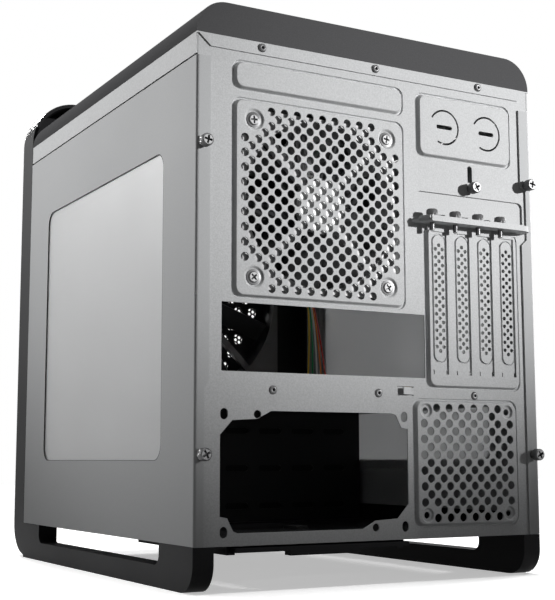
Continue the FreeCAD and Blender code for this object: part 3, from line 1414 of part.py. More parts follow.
def fan_rotor(side, height, near, depth, bore, hub, chord):
    """A hub with pitched blades and the shaft that it turns on."""
    start = near + s.strut_thick + s.motor_gap
    end = near + depth - s.blade_gap
    body = pin(side, height, (start, end), hub)
    shaft = pin(side, height, (near + s.strut_thick / 2, start + 1), s.fan_shaft)
    reach = bore / 2 - s.blade_gap
    middle = (start + end) / 2
    blade = Part.makeBox(reach, s.blade_thick, chord, Vector(0, -s.blade_thick / 2, -chord / 2))
    blade.rotate(Vector(), Vector(1, 0, 0), s.blade_pitch_angle)
    blade.translate(at(side, middle, height))
    sweep = pin(side, height, (start + s.blade_end_gap, end - s.blade_end_gap), 2 * reach)
    blade = blade.common(sweep)
    blades = [about(blade, side, height, 360 * k / s.fan_blades) for k in range(int(s.fan_blades))]
    return body.fuse(blades + [shaft])


REAR_FAN_START = s.steel - s.emboss + s.dimple_depth
REAR_FAN = (s.upper_side, s.fan_level, REAR_FAN_START)
FRONT_FAN = (0, s.front_fan_level, s.body_depth - s.steel - s.front_fan_depth)

shaped("rear_fan_frame", fan_frame(*REAR_FAN, s.rear_fan, s.rear_fan_depth, s.rear_fan_bore, s.rear_fan_hub,
                                   s.rear_fan_holes))
shaped("rear_fan_rotor", fan_rotor(*REAR_FAN, s.rear_fan_depth, s.rear_fan_bore, s.rear_fan_hub, s.blade_chord))
shaped("front_fan_frame", fan_frame(*FRONT_FAN, s.front_fan, s.front_fan_depth, s.front_fan_bore, s.front_fan_hub,
                                    s.front_fan_holes))
shaped("front_fan_rotor", fan_rotor(*FRONT_FAN, s.front_fan_depth, s.front_fan_bore, s.front_fan_hub,
                                    s.front_blade_chord))


# Front panel leads: each route starts at the board's header, passes the front sheet's window and
# hangs down inside to a plug that lies on the board tray

LEAD_NAMES = ("red", "orange", "white", "green", "yellow")


def lead_route(k):
    """The points of one lead, as side places, depths and levels."""
    across = (k - 2) * s.lead_pitch
    lay = s.tray_level + s.plug_width / 2
    start = -s.board_width / 2 + (k + 1) * s.lead_pitch
    window = -s.lead_side + across
    exit_depth = BOARD_DEPTH - s.board_thick - s.header_depth / 4 + s.lead_stagger * (1 if k % 2 else -1)
    top = s.control_level - s.board_height / 2
    return [(start, exit_depth, top), (start, exit_depth, top - 12),
            ((start + window) / 2 - 6, exit_depth - 3, top - 27), (window + 2, exit_depth - 3.4, 308),
            (window, 334, 300), (window + 1, 318, 284 - 2 * k), (window + 4, 306 - 2 * k, 256),
            (window + 5, 296 - 3 * k, 222), (window + 3, 283 - 2 * k, 186 + 3 * k), (window + 6, 268, 152 + 2 * k),
            (window + 9 + k, 256 + k, 122), (window + 13 + 2 * k, 240, lay), (window + 18 + 3 * k, 222 - k, lay)]


def arc_corner(before, corner, after):
    """Where a corner's arc starts and ends, its middle point and its radius."""
    back, ahead = before - corner, after - corner
    shorter = min(back.Length, ahead.Length)
    back.normalize()
    ahead.normalize()
    half_turn = (math.pi - back.getAngle(ahead)) / 2
    radius = 0.45 * shorter / math.tan(half_turn)
    inward = (back + ahead).normalize()
    middle = corner + inward * (radius / math.cos(half_turn) - radius)
    return corner + back * (0.45 * shorter), middle, corner + ahead * (0.45 * shorter), radius


def tube(label, route, diameter):
    """A round cord along straight runs that tangent arcs join."""
    points = [at(*place) for place in route]
    edges, radii, here = [], [], points[0]
    for before, corner, after in zip(points, points[1:], points[2:]):
        start, middle, end, radius = arc_corner(before, corner, after)
        edges += [Part.LineSegment(here, start).toShape(), Part.Arc(start, middle, end).toShape()]
        radii.append(round(radius, 1))
        here = end
    edges.append(Part.LineSegment(here, points[-1]).toShape())
    path = Part.Wire(edges)
    profile = Part.Wire(Part.makeCircle(diameter / 2, points[0], points[1] - points[0]))
    solid = path.makePipeShell([profile], True, True)
    ratio = solid.Volume / (math.pi * diameter ** 2 / 4 * path.Length)
    print(label, "length", round(path.Length), "volume ratio", round(ratio, 4), "radii", radii)
    return solid


def plug(route):
    """A small housing on a lead's end, flat on the tray."""
    (x0, v0, w0), (x1, v1, w1) = route[-2:]
    angle = math.degrees(math.atan2(-(v1 - v0), x1 - x0))
    wide = s.plug_width
    body = Part.makeBox(s.plug_length, wide, wide, Vector(0, -wide / 2, -wide / 2))
    body.rotate(Vector(), Vector(0, 0, 1), angle)
    body.translate(at(x1, v1, w1))
    return body


for k, colour in enumerate(LEAD_NAMES):
    shaped(f"lead_{colour}", tube(f"lead_{colour}", lead_route(k), s.lead_diameter))
shaped("lead_plugs", Part.makeCompound([plug(lead_route(k)) for k in range(len(LEAD_NAMES))]))


def check_and_write():
    doc.recompute()
    for obj in doc.Objects:
        if "Invalid" in obj.State or "Error" in obj.State:
            raise RuntimeError(f"{obj.Name} {obj.State}")
    for label, obj in nodes.items():
        if obj.Shape.isNull() or not obj.Shape.isValid():
            raise RuntimeError(f"{label} has no valid shape")
    os.makedirs("parts", exist_ok=True)
    for label, obj in nodes.items():
        obj.Shape.exportStep(f"parts/{label}.step")


check_and_write()
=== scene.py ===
import math

import bmesh
import bpy
from mathutils import Matrix, Vector

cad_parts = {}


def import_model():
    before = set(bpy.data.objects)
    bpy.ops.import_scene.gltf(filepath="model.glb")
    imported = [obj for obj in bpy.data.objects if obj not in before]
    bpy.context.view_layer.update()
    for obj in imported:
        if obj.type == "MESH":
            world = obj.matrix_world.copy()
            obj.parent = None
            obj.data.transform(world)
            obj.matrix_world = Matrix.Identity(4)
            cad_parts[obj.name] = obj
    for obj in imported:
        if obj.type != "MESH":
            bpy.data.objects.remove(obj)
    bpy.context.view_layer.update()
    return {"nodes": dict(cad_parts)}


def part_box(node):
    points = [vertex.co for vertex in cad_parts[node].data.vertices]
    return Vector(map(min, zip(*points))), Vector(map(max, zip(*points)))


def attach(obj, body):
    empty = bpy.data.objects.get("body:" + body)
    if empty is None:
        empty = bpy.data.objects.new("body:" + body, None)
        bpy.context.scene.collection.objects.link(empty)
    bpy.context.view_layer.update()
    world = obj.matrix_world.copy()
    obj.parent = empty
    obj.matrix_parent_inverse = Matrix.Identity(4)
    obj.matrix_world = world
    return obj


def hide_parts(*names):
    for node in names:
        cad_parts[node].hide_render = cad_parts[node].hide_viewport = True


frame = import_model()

# A small tower computer case. Places are in metres in the row's frame: +Z up and the rear at +Y.
# All other sizes are in millimetres. As in the solids, depths are counted inwards from the rear sheet,
# levels up from the steel body's underside, and sides from the middle.

MM = 0.001
REAR = 181.25
FOOT = 28.6
HALF = 138.5
STEEL = 1.0


def at(side, depth, level):
    """A place in the row's frame."""
    return Vector((side, REAR - depth, level + FOOT)) * MM


# Materials

def shader(name):
    """A new material, its nodes and its main shader."""
    made = bpy.data.materials.new(name)
    made.use_nodes = True
    tree = made.node_tree
    return made, tree, tree.nodes["Principled BSDF"]


def noise(tree, scale, detail=2.0):
    """The value of a texture of soft spots."""
    place = tree.nodes.new("ShaderNodeNewGeometry")
    made = tree.nodes.new("ShaderNodeTexNoise")
    made.inputs["Scale"].default_value = scale
    made.inputs["Detail"].default_value = detail
    tree.links.new(place.outputs["Position"], made.inputs["Vector"])
    return made.outputs["Fac"]


def ramp(tree, fac, low, high, dark, light):
    """A texture's value spread over a range."""
    made = tree.nodes.new("ShaderNodeMapRange")
    for socket, number in (("From Min", low), ("From Max", high), ("To Min", dark), ("To Max", light)):
        made.inputs[socket].default_value = number
    tree.links.new(fac, made.inputs["Value"])
    return made.outputs["Result"]


def tint(tree, main, fac, first, second):
    """A colour between two, by a texture's value."""
    mix = tree.nodes.new("ShaderNodeMix")
    mix.data_type = "RGBA"
    mix.inputs["A"].default_value = (*first, 1)
    mix.inputs["B"].default_value = (*second, 1)
    tree.links.new(fac, mix.inputs["Factor"])
    tree.links.new(mix.outputs["Result"], main.inputs["Base Color"])


def bump(tree, main, fac, height):
    """Low bumps, in metres, by a texture's value."""
    made = tree.nodes.new("ShaderNodeBump")
    made.inputs["Distance"].default_value = height
    tree.links.new(fac, made.inputs["Height"])
    tree.links.new(made.outputs["Normal"], main.inputs["Normal"])


def uneven(colour, spread):
    """A darker and a lighter shade of a colour."""
    return tuple(c * (1 - spread) for c in colour), tuple(min(1, c * (1 + spread)) for c in colour)


def coated(name, colour, spread, rough, grain, height, specular=0.5):
    """A coat or moulded plastic: grains in its surface, a little uneven in colour and gloss."""
    made, tree, main = shader(name)
    main.inputs["Specular IOR Level"].default_value = specular
    fine = noise(tree, grain)
    broad = noise(tree, 9.0, 3.0)
    tint(tree, main, ramp(tree, fine, 0.3, 0.7, 0, 1), *uneven(colour, spread))
    tree.links.new(ramp(tree, broad, 0.3, 0.7, rough * 0.92, rough * 1.08), main.inputs["Roughness"])
    bump(tree, main, fine, height)
    return made


def plain(name, colour, rough, metallic=0.0, coat=0.0):
    """A smooth material, a little uneven in colour and gloss."""
    made, tree, main = shader(name)
    main.inputs["Metallic"].default_value = metallic
    main.inputs["Coat Weight"].default_value = coat
    broad = noise(tree, 60.0, 3.0)
    tint(tree, main, broad, *uneven(colour, 0.1))
    tree.links.new(ramp(tree, broad, 0.3, 0.7, rough * 0.9, rough * 1.1), main.inputs["Roughness"])
    return made


SHEET = coated("sheet_steel", (0.43, 0.435, 0.44), 0.09, 0.5, 1000.0, 0.00005, 0.08)
SKIN = coated("panel_skin", (0.40, 0.405, 0.41), 0.04, 0.5, 1800.0, 0.00002, 0.04)
PLASTIC = coated("black_plastic", (0.014, 0.014, 0.015), 0.12, 0.5, 1700.0, 0.00003, 0.04)
COVER = coated("cover_plastic", (0.07, 0.07, 0.072), 0.10, 0.6, 1700.0, 0.00003, 0.0)
INNER = coated("inner_steel", (0.014, 0.014, 0.015), 0.1, 0.5, 1500.0, 0.00004, 0.15)
FAN = coated("fan_plastic", (0.33, 0.33, 0.335), 0.08, 0.35, 900.0, 0.00002)
BLADE = coated("blade_plastic", (0.03, 0.03, 0.031), 0.08, 0.3, 900.0, 0.00002)
GLAZING = coated("silvered_acrylic", (0.65, 0.655, 0.66), 0.015, 0.35, 12.0, 0.00001, 0.1)
GLAZING.node_tree.nodes["Principled BSDF"].inputs["Transmission Weight"].default_value = 0.42
SCREW = plain("dark_nickel", (0.07, 0.07, 0.072), 0.35, 0.3)
# A lighter copy of the dark nickel: a painted highlight for the screws' faces.
PAINTED_HIGHLIGHT = plain("painted_highlight_nickel", (0.36, 0.36, 0.365), 0.5, 0.1)
NICKEL = plain("bright_nickel", (0.62, 0.62, 0.63), 0.28, 0.4)
BRASS = plain("brass", (0.72, 0.52, 0.22), 0.3, 1.0)
PALE = plain("pale_film", (0.75, 0.75, 0.75), 0.4)
# Dark rubber for the supply's pads; the same colour is painted shade in the side windows' seams.
RUBBER_AND_SEAM_SHADE = plain("rubber", (0.015, 0.015, 0.015), 0.75)
NET = plain("net", (0.02, 0.02, 0.02), 0.6)
CARD = plain("board", (0.008, 0.012, 0.010), 0.35, 0.0, 0.3)
LEAD_COLOURS = {"red": (0.62, 0.06, 0.04), "orange": (0.85, 0.26, 0.05), "white": (0.80, 0.80, 0.76),
                "green": (0.03, 0.32, 0.12), "yellow": (0.85, 0.60, 0.06)}
LEADS = {name: plain(f"{name}_lead", colour, 0.4) for name, colour in LEAD_COLOURS.items()}

FINISHES = {
    SHEET: ("rear_panel", "chassis_top", "slot_cover_1", "slot_cover_2", "slot_cover_3", "slot_cover_4",
            "slot_plate", "motherboard_tray"),
    SKIN: ("side_panel_left", "side_panel_right"),
    INNER: ("chassis_front", "drive_cage", "front_grille", "chassis_base"),
    PLASTIC: ("foot_left", "foot_right", "front_bezel", "psu_filter_frame", "psu_filter_rails", "lead_plugs",
              "power_button", "reset_button", "button_switches", "audio_sockets", "drive_tray_1",
              "drive_tray_2", "drive_tray_3"),
    COVER: ("top_cover",),
    FAN: ("rear_fan_frame",),
    BLADE: ("rear_fan_rotor", "front_fan_rotor", "front_fan_frame"),
    GLAZING: ("window_left", "window_right"),
    SCREW: ("panel_thumbscrews_left", "panel_thumbscrews_right", "plate_thumbscrew", "slot_thumbscrews",
            "rear_fan_screws", "front_fan_screws", "foot_screws"),
    NICKEL: ("rivets", "usb_sockets"),
    BRASS: ("standoffs",),
    RUBBER_AND_SEAM_SHADE: ("psu_pads",),
    NET: ("psu_filter_net",),
    CARD: ("front_board",),
}


def finish_node(name, finish):
    """Gives one of the solids' nodes its material."""
    worn = frame["nodes"][name].data.materials
    worn.clear()
    worn.append(finish)


for finish, names in FINISHES.items():
    for name in names:
        finish_node(name, finish)
for colour, finish in LEADS.items():
    finish_node(f"lead_{colour}", finish)


def soften(name, width):
    """Rounds a node's sharp edges a little."""
    node = frame["nodes"][name]
    edge = node.modifiers.new("edges", "BEVEL")
    edge.width = width * MM
    edge.segments = 2
    edge.limit_method = "ANGLE"
    edge.angle_limit = math.radians(50)
    node.modifiers.new("shading", "WEIGHTED_NORMAL").keep_sharp = True


for name, width in (("foot_left", 1.0), ("foot_right", 1.0), ("front_bezel", 1.0), ("top_cover", 0.8)):
    soften(name, width)


# Pieces in mesh code

def keep(form, name, finish, body, smooth):
    """A finished piece from its form, which has smooth shading where its faces meet at less than an angle."""
    bmesh.ops.recalc_face_normals(form, faces=form.faces)
    data = bpy.data.meshes.new(name)
    form.to_mesh(data)
    form.free()
    made = bpy.data.objects.new(name, data)
    bpy.context.scene.collection.objects.link(made)
    data.materials.append(finish)
    if smooth:
        data.shade_smooth()
        data.set_sharp_from_angle(angle=math.radians(smooth))
    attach(made, body)
    return made


def replace(node, form, name, finish, body, smooth):
    """A finished piece in place of a node."""
    made = keep(form, name, finish, body, smooth)
    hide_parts(node)
    return made


# Front panel leads

LEAD_NAMES = ("red", "orange", "white", "green", "yellow")
LEAD_PITCH = 3.4
LEAD_DIAMETER = 1.6
LEAD_SIDE = -117
TRAY_LEVEL = 103.5
PLUG_HALF = 1.3
SMALL_BOARD_END = -75
SMALL_BOARD_BASE = 345
SOCKET_DEPTH = 354.4
SOCKET_STAGGER = 1.1


def lead_route(k):
    """The points of one lead, as in the solids."""
    window = LEAD_SIDE + (k - 2) * LEAD_PITCH
    lay = TRAY_LEVEL + PLUG_HALF
    start = SMALL_BOARD_END + (k + 1) * LEAD_PITCH
    hop = SOCKET_DEPTH + SOCKET_STAGGER * (1 if k % 2 else -1)
    top = SMALL_BOARD_BASE
    return [(start, hop, top), (start, hop, top - 12),
            ((start + window) / 2 - 6, hop - 3, top - 27), (window + 2, hop - 3.4, 308),
            (window, 334, 300), (window + 1, 318, 284 - 2 * k), (window + 4, 306 - 2 * k, 256),
            (window + 5, 296 - 3 * k, 222), (window + 3, 283 - 2 * k, 186 + 3 * k),
            (window + 6, 268, 152 + 2 * k), (window + 9 + k, 256 + k, 122),
            (window + 13 + 2 * k, 240, lay), (window + 18 + 3 * k, 222 - k, lay)]


def lead(k):
    """One lead as a smooth curve."""
    colour = LEAD_NAMES[k]
    points = [at(*place) for place in lead_route(k)]
    line = bpy.data.curves.new(f"wire_{colour}", "CURVE")
    line.dimensions = "3D"
    line.bevel_depth = LEAD_DIAMETER / 2 * MM
    line.bevel_resolution = 3
    line.use_fill_caps = True
    spline = line.splines.new("NURBS")
    spline.points.add(len(points) - 1)
    for spot, place in zip(spline.points, points):
        spot.co = (*place, 1)
    spline.order_u = 3
    spline.use_endpoint_u = True
    spline.resolution_u = 8
    wire = bpy.data.objects.new(f"wire_{colour}", line)
    bpy.context.scene.collection.objects.link(wire)
    line.materials.append(LEADS[colour])
    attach(wire, "case")
    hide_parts(f"lead_{colour}")


for number in range(len(LEAD_NAMES)):
    lead(number)


# Outlines in a plane

def circle(side, level, diameter, steps=24):
    """A circle, without its first point again at the end."""
    turns = [2 * math.pi * k / steps for k in range(steps)]
    return [(side + diameter / 2 * math.cos(a), level + diameter / 2 * math.sin(a)) for a in turns]


def arc(side, level, radius, start, end, steps):
    """A part of a circle between two angles in degrees."""
    turns = [math.radians(start + (end - start) * k / steps) for k in range(steps + 1)]
    return [(side + radius * math.cos(a), level + radius * math.sin(a)) for a in turns]


def oblong(start, end, base, top):
    """A rectangle with plain corners."""
    return [(start, base), (end, base), (end, top), (start, top)]


def rounded(side, level, width, height, radius, steps=6):
    """A rectangle with round corners."""
    a, b = width / 2 - radius, height / 2 - radius
    spots = []
    for x, z, turn in ((a, b, 0), (-a, b, 90), (-a, -b, 180), (a, -b, 270)):
        spots += arc(side + x, level + z, radius, turn, turn + 90, steps)
    return spots


def obround(side, level, length, width):
    """A level slot with round ends."""
    run = (length - width) / 2
    return arc(side + run, level, width / 2, -90, 90, 8) + arc(side - run, level, width / 2, 90, 270, 8)


def upright(side, level, width, height):
    """An upright slot with round ends."""
    run = (height - width) / 2
    return arc(side, level + run, width / 2, 0, 180, 8) + arc(side, level - run, width / 2, 180, 360, 8)


# Forms

def flat(form, outline, holes, thick, place):
    """Adds a flat sheet with holes: its outline lies across a placed pair of axes."""
    line = bpy.data.curves.new("flat", "CURVE")
    line.dimensions = "2D"
    line.fill_mode = "BOTH"
    line.extrude = thick / 2 * MM
    for path in [outline] + holes:
        spline = line.splines.new("POLY")
        spline.points.add(len(path) - 1)
        for spot, (x, z) in zip(spline.points, path):
            spot.co = (x * MM, z * MM, 0, 1)
        spline.use_cyclic_u = True
    carrier = bpy.data.objects.new("flat", line)
    bpy.context.scene.collection.objects.link(carrier)
    bpy.context.view_layer.update()
    mesh = bpy.data.meshes.new_from_object(carrier.evaluated_get(bpy.context.evaluated_depsgraph_get()))
    mesh.transform(place)
    form.from_mesh(mesh)
    bpy.data.objects.remove(carrier)
    bpy.data.curves.remove(line)
    bpy.data.meshes.remove(mesh)


def plate(form, outline, holes, near, far):
    """Adds a flat sheet with holes between two depths."""
    middle = Matrix.Translation((0, (REAR - (near + far) / 2) * MM, FOOT * MM))
    flat(form, outline, holes, far - near, middle @ Matrix.Rotation(math.pi / 2, 4, "X"))


def band(form, section, ring):
    """Adds a closed band: a section of (inset, depth) points carried round a ring of places for an inset."""
    loops = [[form.verts.new(at(x, depth, z)) for x, z in ring(inset)] for inset, depth in section]
    for first, second in zip(loops, loops[1:] + loops[:1]):
        for i in range(len(first)):
            j = (i + 1) % len(first)
            form.faces.new((first[i], first[j], second[j], second[i]))


def step(inset, start, end, metal):
    """The section of a stamped step: an S-curve along one side of the metal and back along the other."""
    rise = [0.5 - 0.5 * math.cos(math.pi * k / 8) for k in range(9)]
    outer = [(inset * k / 8, start + (end - start) * rise[k]) for k in range(9)]
    return outer, [(along, depth + metal) for along, depth in reversed(outer)]


def slab(form, sides, depths, levels):
    """Adds a plain block of sheet metal."""
    low, high = at(min(sides), max(depths), min(levels)), at(max(sides), min(depths), max(levels))
    place = Matrix.Translation((low + high) / 2) @ Matrix.Diagonal((*(high - low), 1))
    bmesh.ops.create_cube(form, size=1, matrix=place)


def column(form, section, low, high):
    """Adds an upright bar: a closed section of (side, depth) points between two levels."""
    foot, head = ([form.verts.new(at(x, depth, level)) for x, depth in section] for level in (low, high))
    form.faces.new(foot)
    form.faces.new(head[::-1])
    for i in range(len(section)):
        j = (i + 1) % len(section)
        form.faces.new((foot[j], foot[i], head[i], head[j]))


# Rear sheet: the solids' hexagonal holes are true round ones here, and its folds are rounded.
# A field or opening is its middle's side and level, its width and its height.

FAN_MIDDLE = (44.3, 223.7)
FAN_FIELD = (*FAN_MIDDLE, 134.4, 132.0)
BLANK_FIELD = (44.3, 305.5, 134.4, 19.0)
KNOCK_LEVEL = 291.5
KNOCK_SIDES = (-58.5, -96.5)
KNOCK_FIELD = (-77.5, KNOCK_LEVEL, 84.2, 46.0)
SLOT_MIDDLE = -82.2
SLOT_FIELD = (SLOT_MIDDLE, 160.9, 82.56, 115.2)
VENT_MIDDLE = (-74.0, 51.5)
VENT_FIELD = (*VENT_MIDDLE, 90.0, 86.6)
FIELDS = (FAN_FIELD, BLANK_FIELD, KNOCK_FIELD, SLOT_FIELD, VENT_FIELD)
FIELD_CORNER = 6.0
PORT_OPENING = (40, 132.0, 158.75, 44.45)
SUPPLY_MIDDLE = (48.3, 46.4)
SUPPLY_SCREW_LEVEL = 45.6
SUPPLY_SCREW_RISE = 37
SUPPLY_SCREW_HOLE = 5.4

SHEET_HALF = 137.2
SHEET_TOP = 329
EMBOSS = 2.0
STEP_RUN = 1.9
GROOVE_DEPTH = 1.1
GROOVE = [(-1.0, 0), (-0.8, 0.7), (-0.4, GROOVE_DEPTH)]

FAN_SCREW_REACH = 52.5
VENT_SCREW_REACH = 35.75
FAN_CORNERS = [(FAN_MIDDLE[0] + a * FAN_SCREW_REACH, FAN_MIDDLE[1] + b * FAN_SCREW_REACH)
               for a in (-1, 1) for b in (-1, 1)]
VENT_CORNERS = [(VENT_MIDDLE[0] + a * VENT_SCREW_REACH, VENT_MIDDLE[1] + b * VENT_SCREW_REACH)
                for a in (-1, 1) for b in (-1, 1)]

# The dimples for screws: their reach, the reach of their floor and the hole's radius.
FAN_DIMPLE = (7.6, 5.5, 2.25)
VENT_DIMPLE = (5.2, 3.7, 2.3)
DIMPLE_FLOOR = -0.6

SLOT_PITCH = 20.32
SLOTS = [SLOT_MIDDLE + (1.5 - k) * SLOT_PITCH for k in range(4)]
SLOT_HALF = 6.7
SLOT_LEVELS = (112.7, 214.4)
SLOT_RIM_SIDES = (-122.48, -41.92)
GUIDE_SLOT = (SLOT_MIDDLE, 256, 4.2, 20)
LEDGE_WINDOW = (SLOT_MIDDLE, 232.25, 96.6, 21.5)
LEDGE_RIGHT = -130.5
LEDGE_LEFT = -29.65
LEDGE_BASE = 219.5
LEDGE_TOP = 221.5
LIP_TOP = 223.6
COVER_STEEL = 0.86

PANEL_SCREW_SIDE = 133.7
PANEL_SCREW_LEVELS = (57, 256.5)
PLATE_SCREW_LEVEL = 249
TRAY_RIVETS = [(k * 82, 98.5) for k in (-1, 0, 1)]
TOP_RIVETS = [(k * 90.5, 326.3) for k in (-1, 0, 1)]
CLIP_SIDE = -22.2
CLIP_LEVEL = 100.5
CLIP_HALF = 6.8


def stamped_field(form, field, holes):
    """Adds a raised field: its flat with holes, and round it the step with a shallow groove at its foot."""
    side, level, width, height = field

    def around(inset):
        return rounded(side, level, width - 2 * inset, height - 2 * inset, FIELD_CORNER - inset / 2)

    outer, inner = step(STEP_RUN, GROOVE_DEPTH, -EMBOSS, STEEL)
    foot = [(inset, depth + STEEL) for inset, depth in reversed(GROOVE)]
    band(form, GROOVE + outer + inner + foot, around)
    plate(form, around(STEP_RUN), holes, -EMBOSS, STEEL - EMBOSS)


def dimple_edges(places, dimple):
    """The openings in a field that its dimples fill."""
    return [circle(*place, 2 * dimple[0], 32) for place in places]


def screw_dimple(form, place, dimple):
    """Adds a dimple pressed back into a raised field round a screw hole."""
    reach, floor, hole = dimple

    def around(inset):
        return circle(*place, 2 * (reach - inset), 32)

    outer, inner = step(reach - floor, -EMBOSS, DIMPLE_FLOOR, STEEL)
    rim = [(reach - hole, DIMPLE_FLOOR), (reach - hole, STEEL + DIMPLE_FLOOR)]
    band(form, outer + rim + inner, around)


def staggered(middle, count, pitch, hole, kept):
    """A staggered grid of round holes about a middle; a rule says which places are kept."""
    half = (count - 1) / 2
    return [circle(middle[0] + (i - half) * pitch / 2, middle[1] + (j - half) * pitch / 2, hole, 20)
            for i in range(count) for j in range(count) if (i + j) % 2 == 0 and kept(i, j)]


def fan_holes():
    """The fan's grille, which leaves its four corners bare for the screws."""
    bare = {(0, 0), (2, 0), (0, 2), (1, 1), (3, 1), (1, 3), (2, 2)}
    return staggered(FAN_MIDDLE, 25, 9.9, 5.8, lambda i, j: (min(i, 24 - i), min(j, 24 - j)) not in bare)


def vent_holes():
    """The lower grille, whose first two rows at the top and bottom are shorter."""
    shorter = {0: 2, 1: 3}
    return staggered(VENT_MIDDLE, 15, 10.8, 6.0,
                     lambda i, j: min(i, 14 - i) >= shorter.get(min(j, 14 - j), 0))


def knock_cut(side):
    """The open cut round a knock-out."""
    return arc(side, KNOCK_LEVEL, 13.1, 30, 300, 30) + arc(side, KNOCK_LEVEL, 11.7, 300, 30, 30)


def supply_outline():
    """The power supply's opening: the same half outline twice, the second time turned half round."""
    half = [(-30, 38.5), (59, 38.5), (62.3, 37.3), (66.6, 29), (71.8, 28), (71.8, -23), (63.1, -32.3),
            (45.3, -33.3), (35, -38.5)]
    return [(SUPPLY_MIDDLE[0] - k * x, SUPPLY_MIDDLE[1] + k * z) for k in (1, -1) for x, z in half]


def supply_screw_holes():
    """The slots at the power supply's four corners, and the round holes of its other two places."""
    side, level, rise = SUPPLY_MIDDLE[0], SUPPLY_SCREW_LEVEL, SUPPLY_SCREW_RISE
    slots = [upright(side + x, level + z, SUPPLY_SCREW_HOLE, 7.2) for x in (-69, 69) for z in (-rise, rise)]
    return slots + [circle(side + k * 45, level + k * rise, SUPPLY_SCREW_HOLE) for k in (-1, 1)]


def sheet_holes():
    """Everything that is cut through the flat of the sheet."""
    holes = [rounded(x, z, wide + 2, tall + 2, FIELD_CORNER + 0.5) for x, z, wide, tall in FIELDS]
    holes.append(rounded(*PORT_OPENING, 0.6))
    holes.append(supply_outline())
    holes += supply_screw_holes()
    holes += [circle(k * PANEL_SCREW_SIDE, level, 4.4) for k in (-1, 1) for level in PANEL_SCREW_LEVELS]
    holes += [circle(*place, 3.2) for place in TRAY_RIVETS + TOP_RIVETS]
    holes.append(upright(*GUIDE_SLOT))
    holes.append(rounded(*LEDGE_WINDOW, 4))
    holes.append(oblong(CLIP_SIDE - CLIP_HALF, CLIP_SIDE + CLIP_HALF, CLIP_LEVEL - 3.2, CLIP_LEVEL + 3.2))
    return holes


def slot_rim(form):
    """Adds the raised strip that joins the slots' field to the ledge over it."""
    right, left = SLOT_RIM_SIDES
    levels = (216.5, LEDGE_TOP)
    slab(form, SLOT_RIM_SIDES, (-EMBOSS, STEEL - EMBOSS), levels)
    for side in (right, left - STEEL):
        slab(form, (side, side + STEEL), (STEEL - EMBOSS, 0), levels)


def ledge(form):
    """Adds the shelf that the covers' tabs lie on: its left end is slanted, its right end round, and a lip
    stands on its edge."""
    left, right = LEDGE_LEFT, LEDGE_RIGHT
    points = [(left, 0.5), (left, 0), (left - 9, -12.5), (right + 10, -12.5), (right + 4.2, -11.2),
              (right + 1.2, -8), (right, -3.5), (right, 0.5)]
    column(form, points, LEDGE_BASE, LEDGE_TOP)
    outer = [(left - 3.6, -5)] + points[2:7]
    inner = [(left - 2.7, -5), (left - 7.6, -11.7), (right + 10, -11.7), (right + 4.7, -10.5),
             (right + 2, -7.6), (right + 0.8, -3.5)]
    column(form, outer + inner[::-1], LEDGE_TOP, LIP_TOP)


def clip_tongue(form):
    """Adds the lanced tongue, which rises towards its open end."""
    run = [n / 10 for n in range(11)]
    outer = [(CLIP_SIDE - CLIP_HALF + 9.6 * t, -2.0 * (0.5 - 0.5 * math.cos(math.pi * t))) for t in run]
    section = outer + [(x, depth + STEEL) for x, depth in reversed(outer)]
    column(form, section, CLIP_LEVEL - 2.4, CLIP_LEVEL + 2.4)


def rear_sheet():
    """The whole stamped sheet."""
    form = bmesh.new()
    plate(form, oblong(-SHEET_HALF, SHEET_HALF, 0, SHEET_TOP), sheet_holes(), 0, STEEL)
    stamped_field(form, FAN_FIELD, fan_holes() + dimple_edges(FAN_CORNERS, FAN_DIMPLE))
    stamped_field(form, BLANK_FIELD, [])
    knocks = [knock_cut(side) for side in KNOCK_SIDES]
    knocks += [obround(side, KNOCK_LEVEL, 14, 3.0) for side in KNOCK_SIDES]
    stamped_field(form, KNOCK_FIELD, knocks)
    stamped_field(form, SLOT_FIELD, [oblong(x - SLOT_HALF, x + SLOT_HALF, *SLOT_LEVELS) for x in SLOTS])
    stamped_field(form, VENT_FIELD, vent_holes() + dimple_edges(VENT_CORNERS, VENT_DIMPLE))
    for places, dimple in ((FAN_CORNERS, FAN_DIMPLE), (VENT_CORNERS, VENT_DIMPLE)):
        for place in places:
            screw_dimple(form, place, dimple)
    slot_rim(form)
    ledge(form)
    clip_tongue(form)
    for k in (-1, 1):
        slab(form, (k * SHEET_HALF, k * (SHEET_HALF - STEEL)), (STEEL, 13), (20, 315.5))
    replace("rear_panel", form, "rear_sheet", SHEET, "case", 35)


rear_sheet()


# Screws and rivets: a profile is of radius, height and, where it is knurled, how high its teeth are.
# A screw's face is its radius, the depth of its pocket, and the cross's reach and half width.

SKIN_FACE = -1.3
THUMB = [(0, -3), (1.6, -3), (1.6, 0), (3.2, 0), (3.2, 1.7), (3.6, 1.7), (3.9, 2.2, 0.3), (3.9, 7.2, 0.3),
         (3.5, 7.9)]
THUMB_FACE = (3.1, 2.2, 2.8, 0.72)
SLOT_THUMB = [(0, -8.5), (1.7, -8.5), (1.7, 0), (3.2, 0), (3.2, 1), (3.7, 1.3, 0.3), (3.7, 5.8, 0.3),
              (3.2, 6.6)]
SLOT_THUMB_FACE = (2.8, 1.2, 2.2, 0.5)
PAN = [(0, -3), (2.1, -3), (2.1, 0), (5.3, 0), (5.3, 0.35), (3.8, 0.5), (3.6, 1.0), (3.1, 1.2)]
PAN_FACE = (3.0, 1.6, 2.5, 0.62)
RIVET = [(0, -2.2), (1.6, -2.2), (1.6, 0), (3.0, 0), (2.9, 0.35), (2.3, 0.95), (1.7, 1.1), (1.1, 1.0),
         (0.9, 0.7), (0.9, -2), (0, -2)]


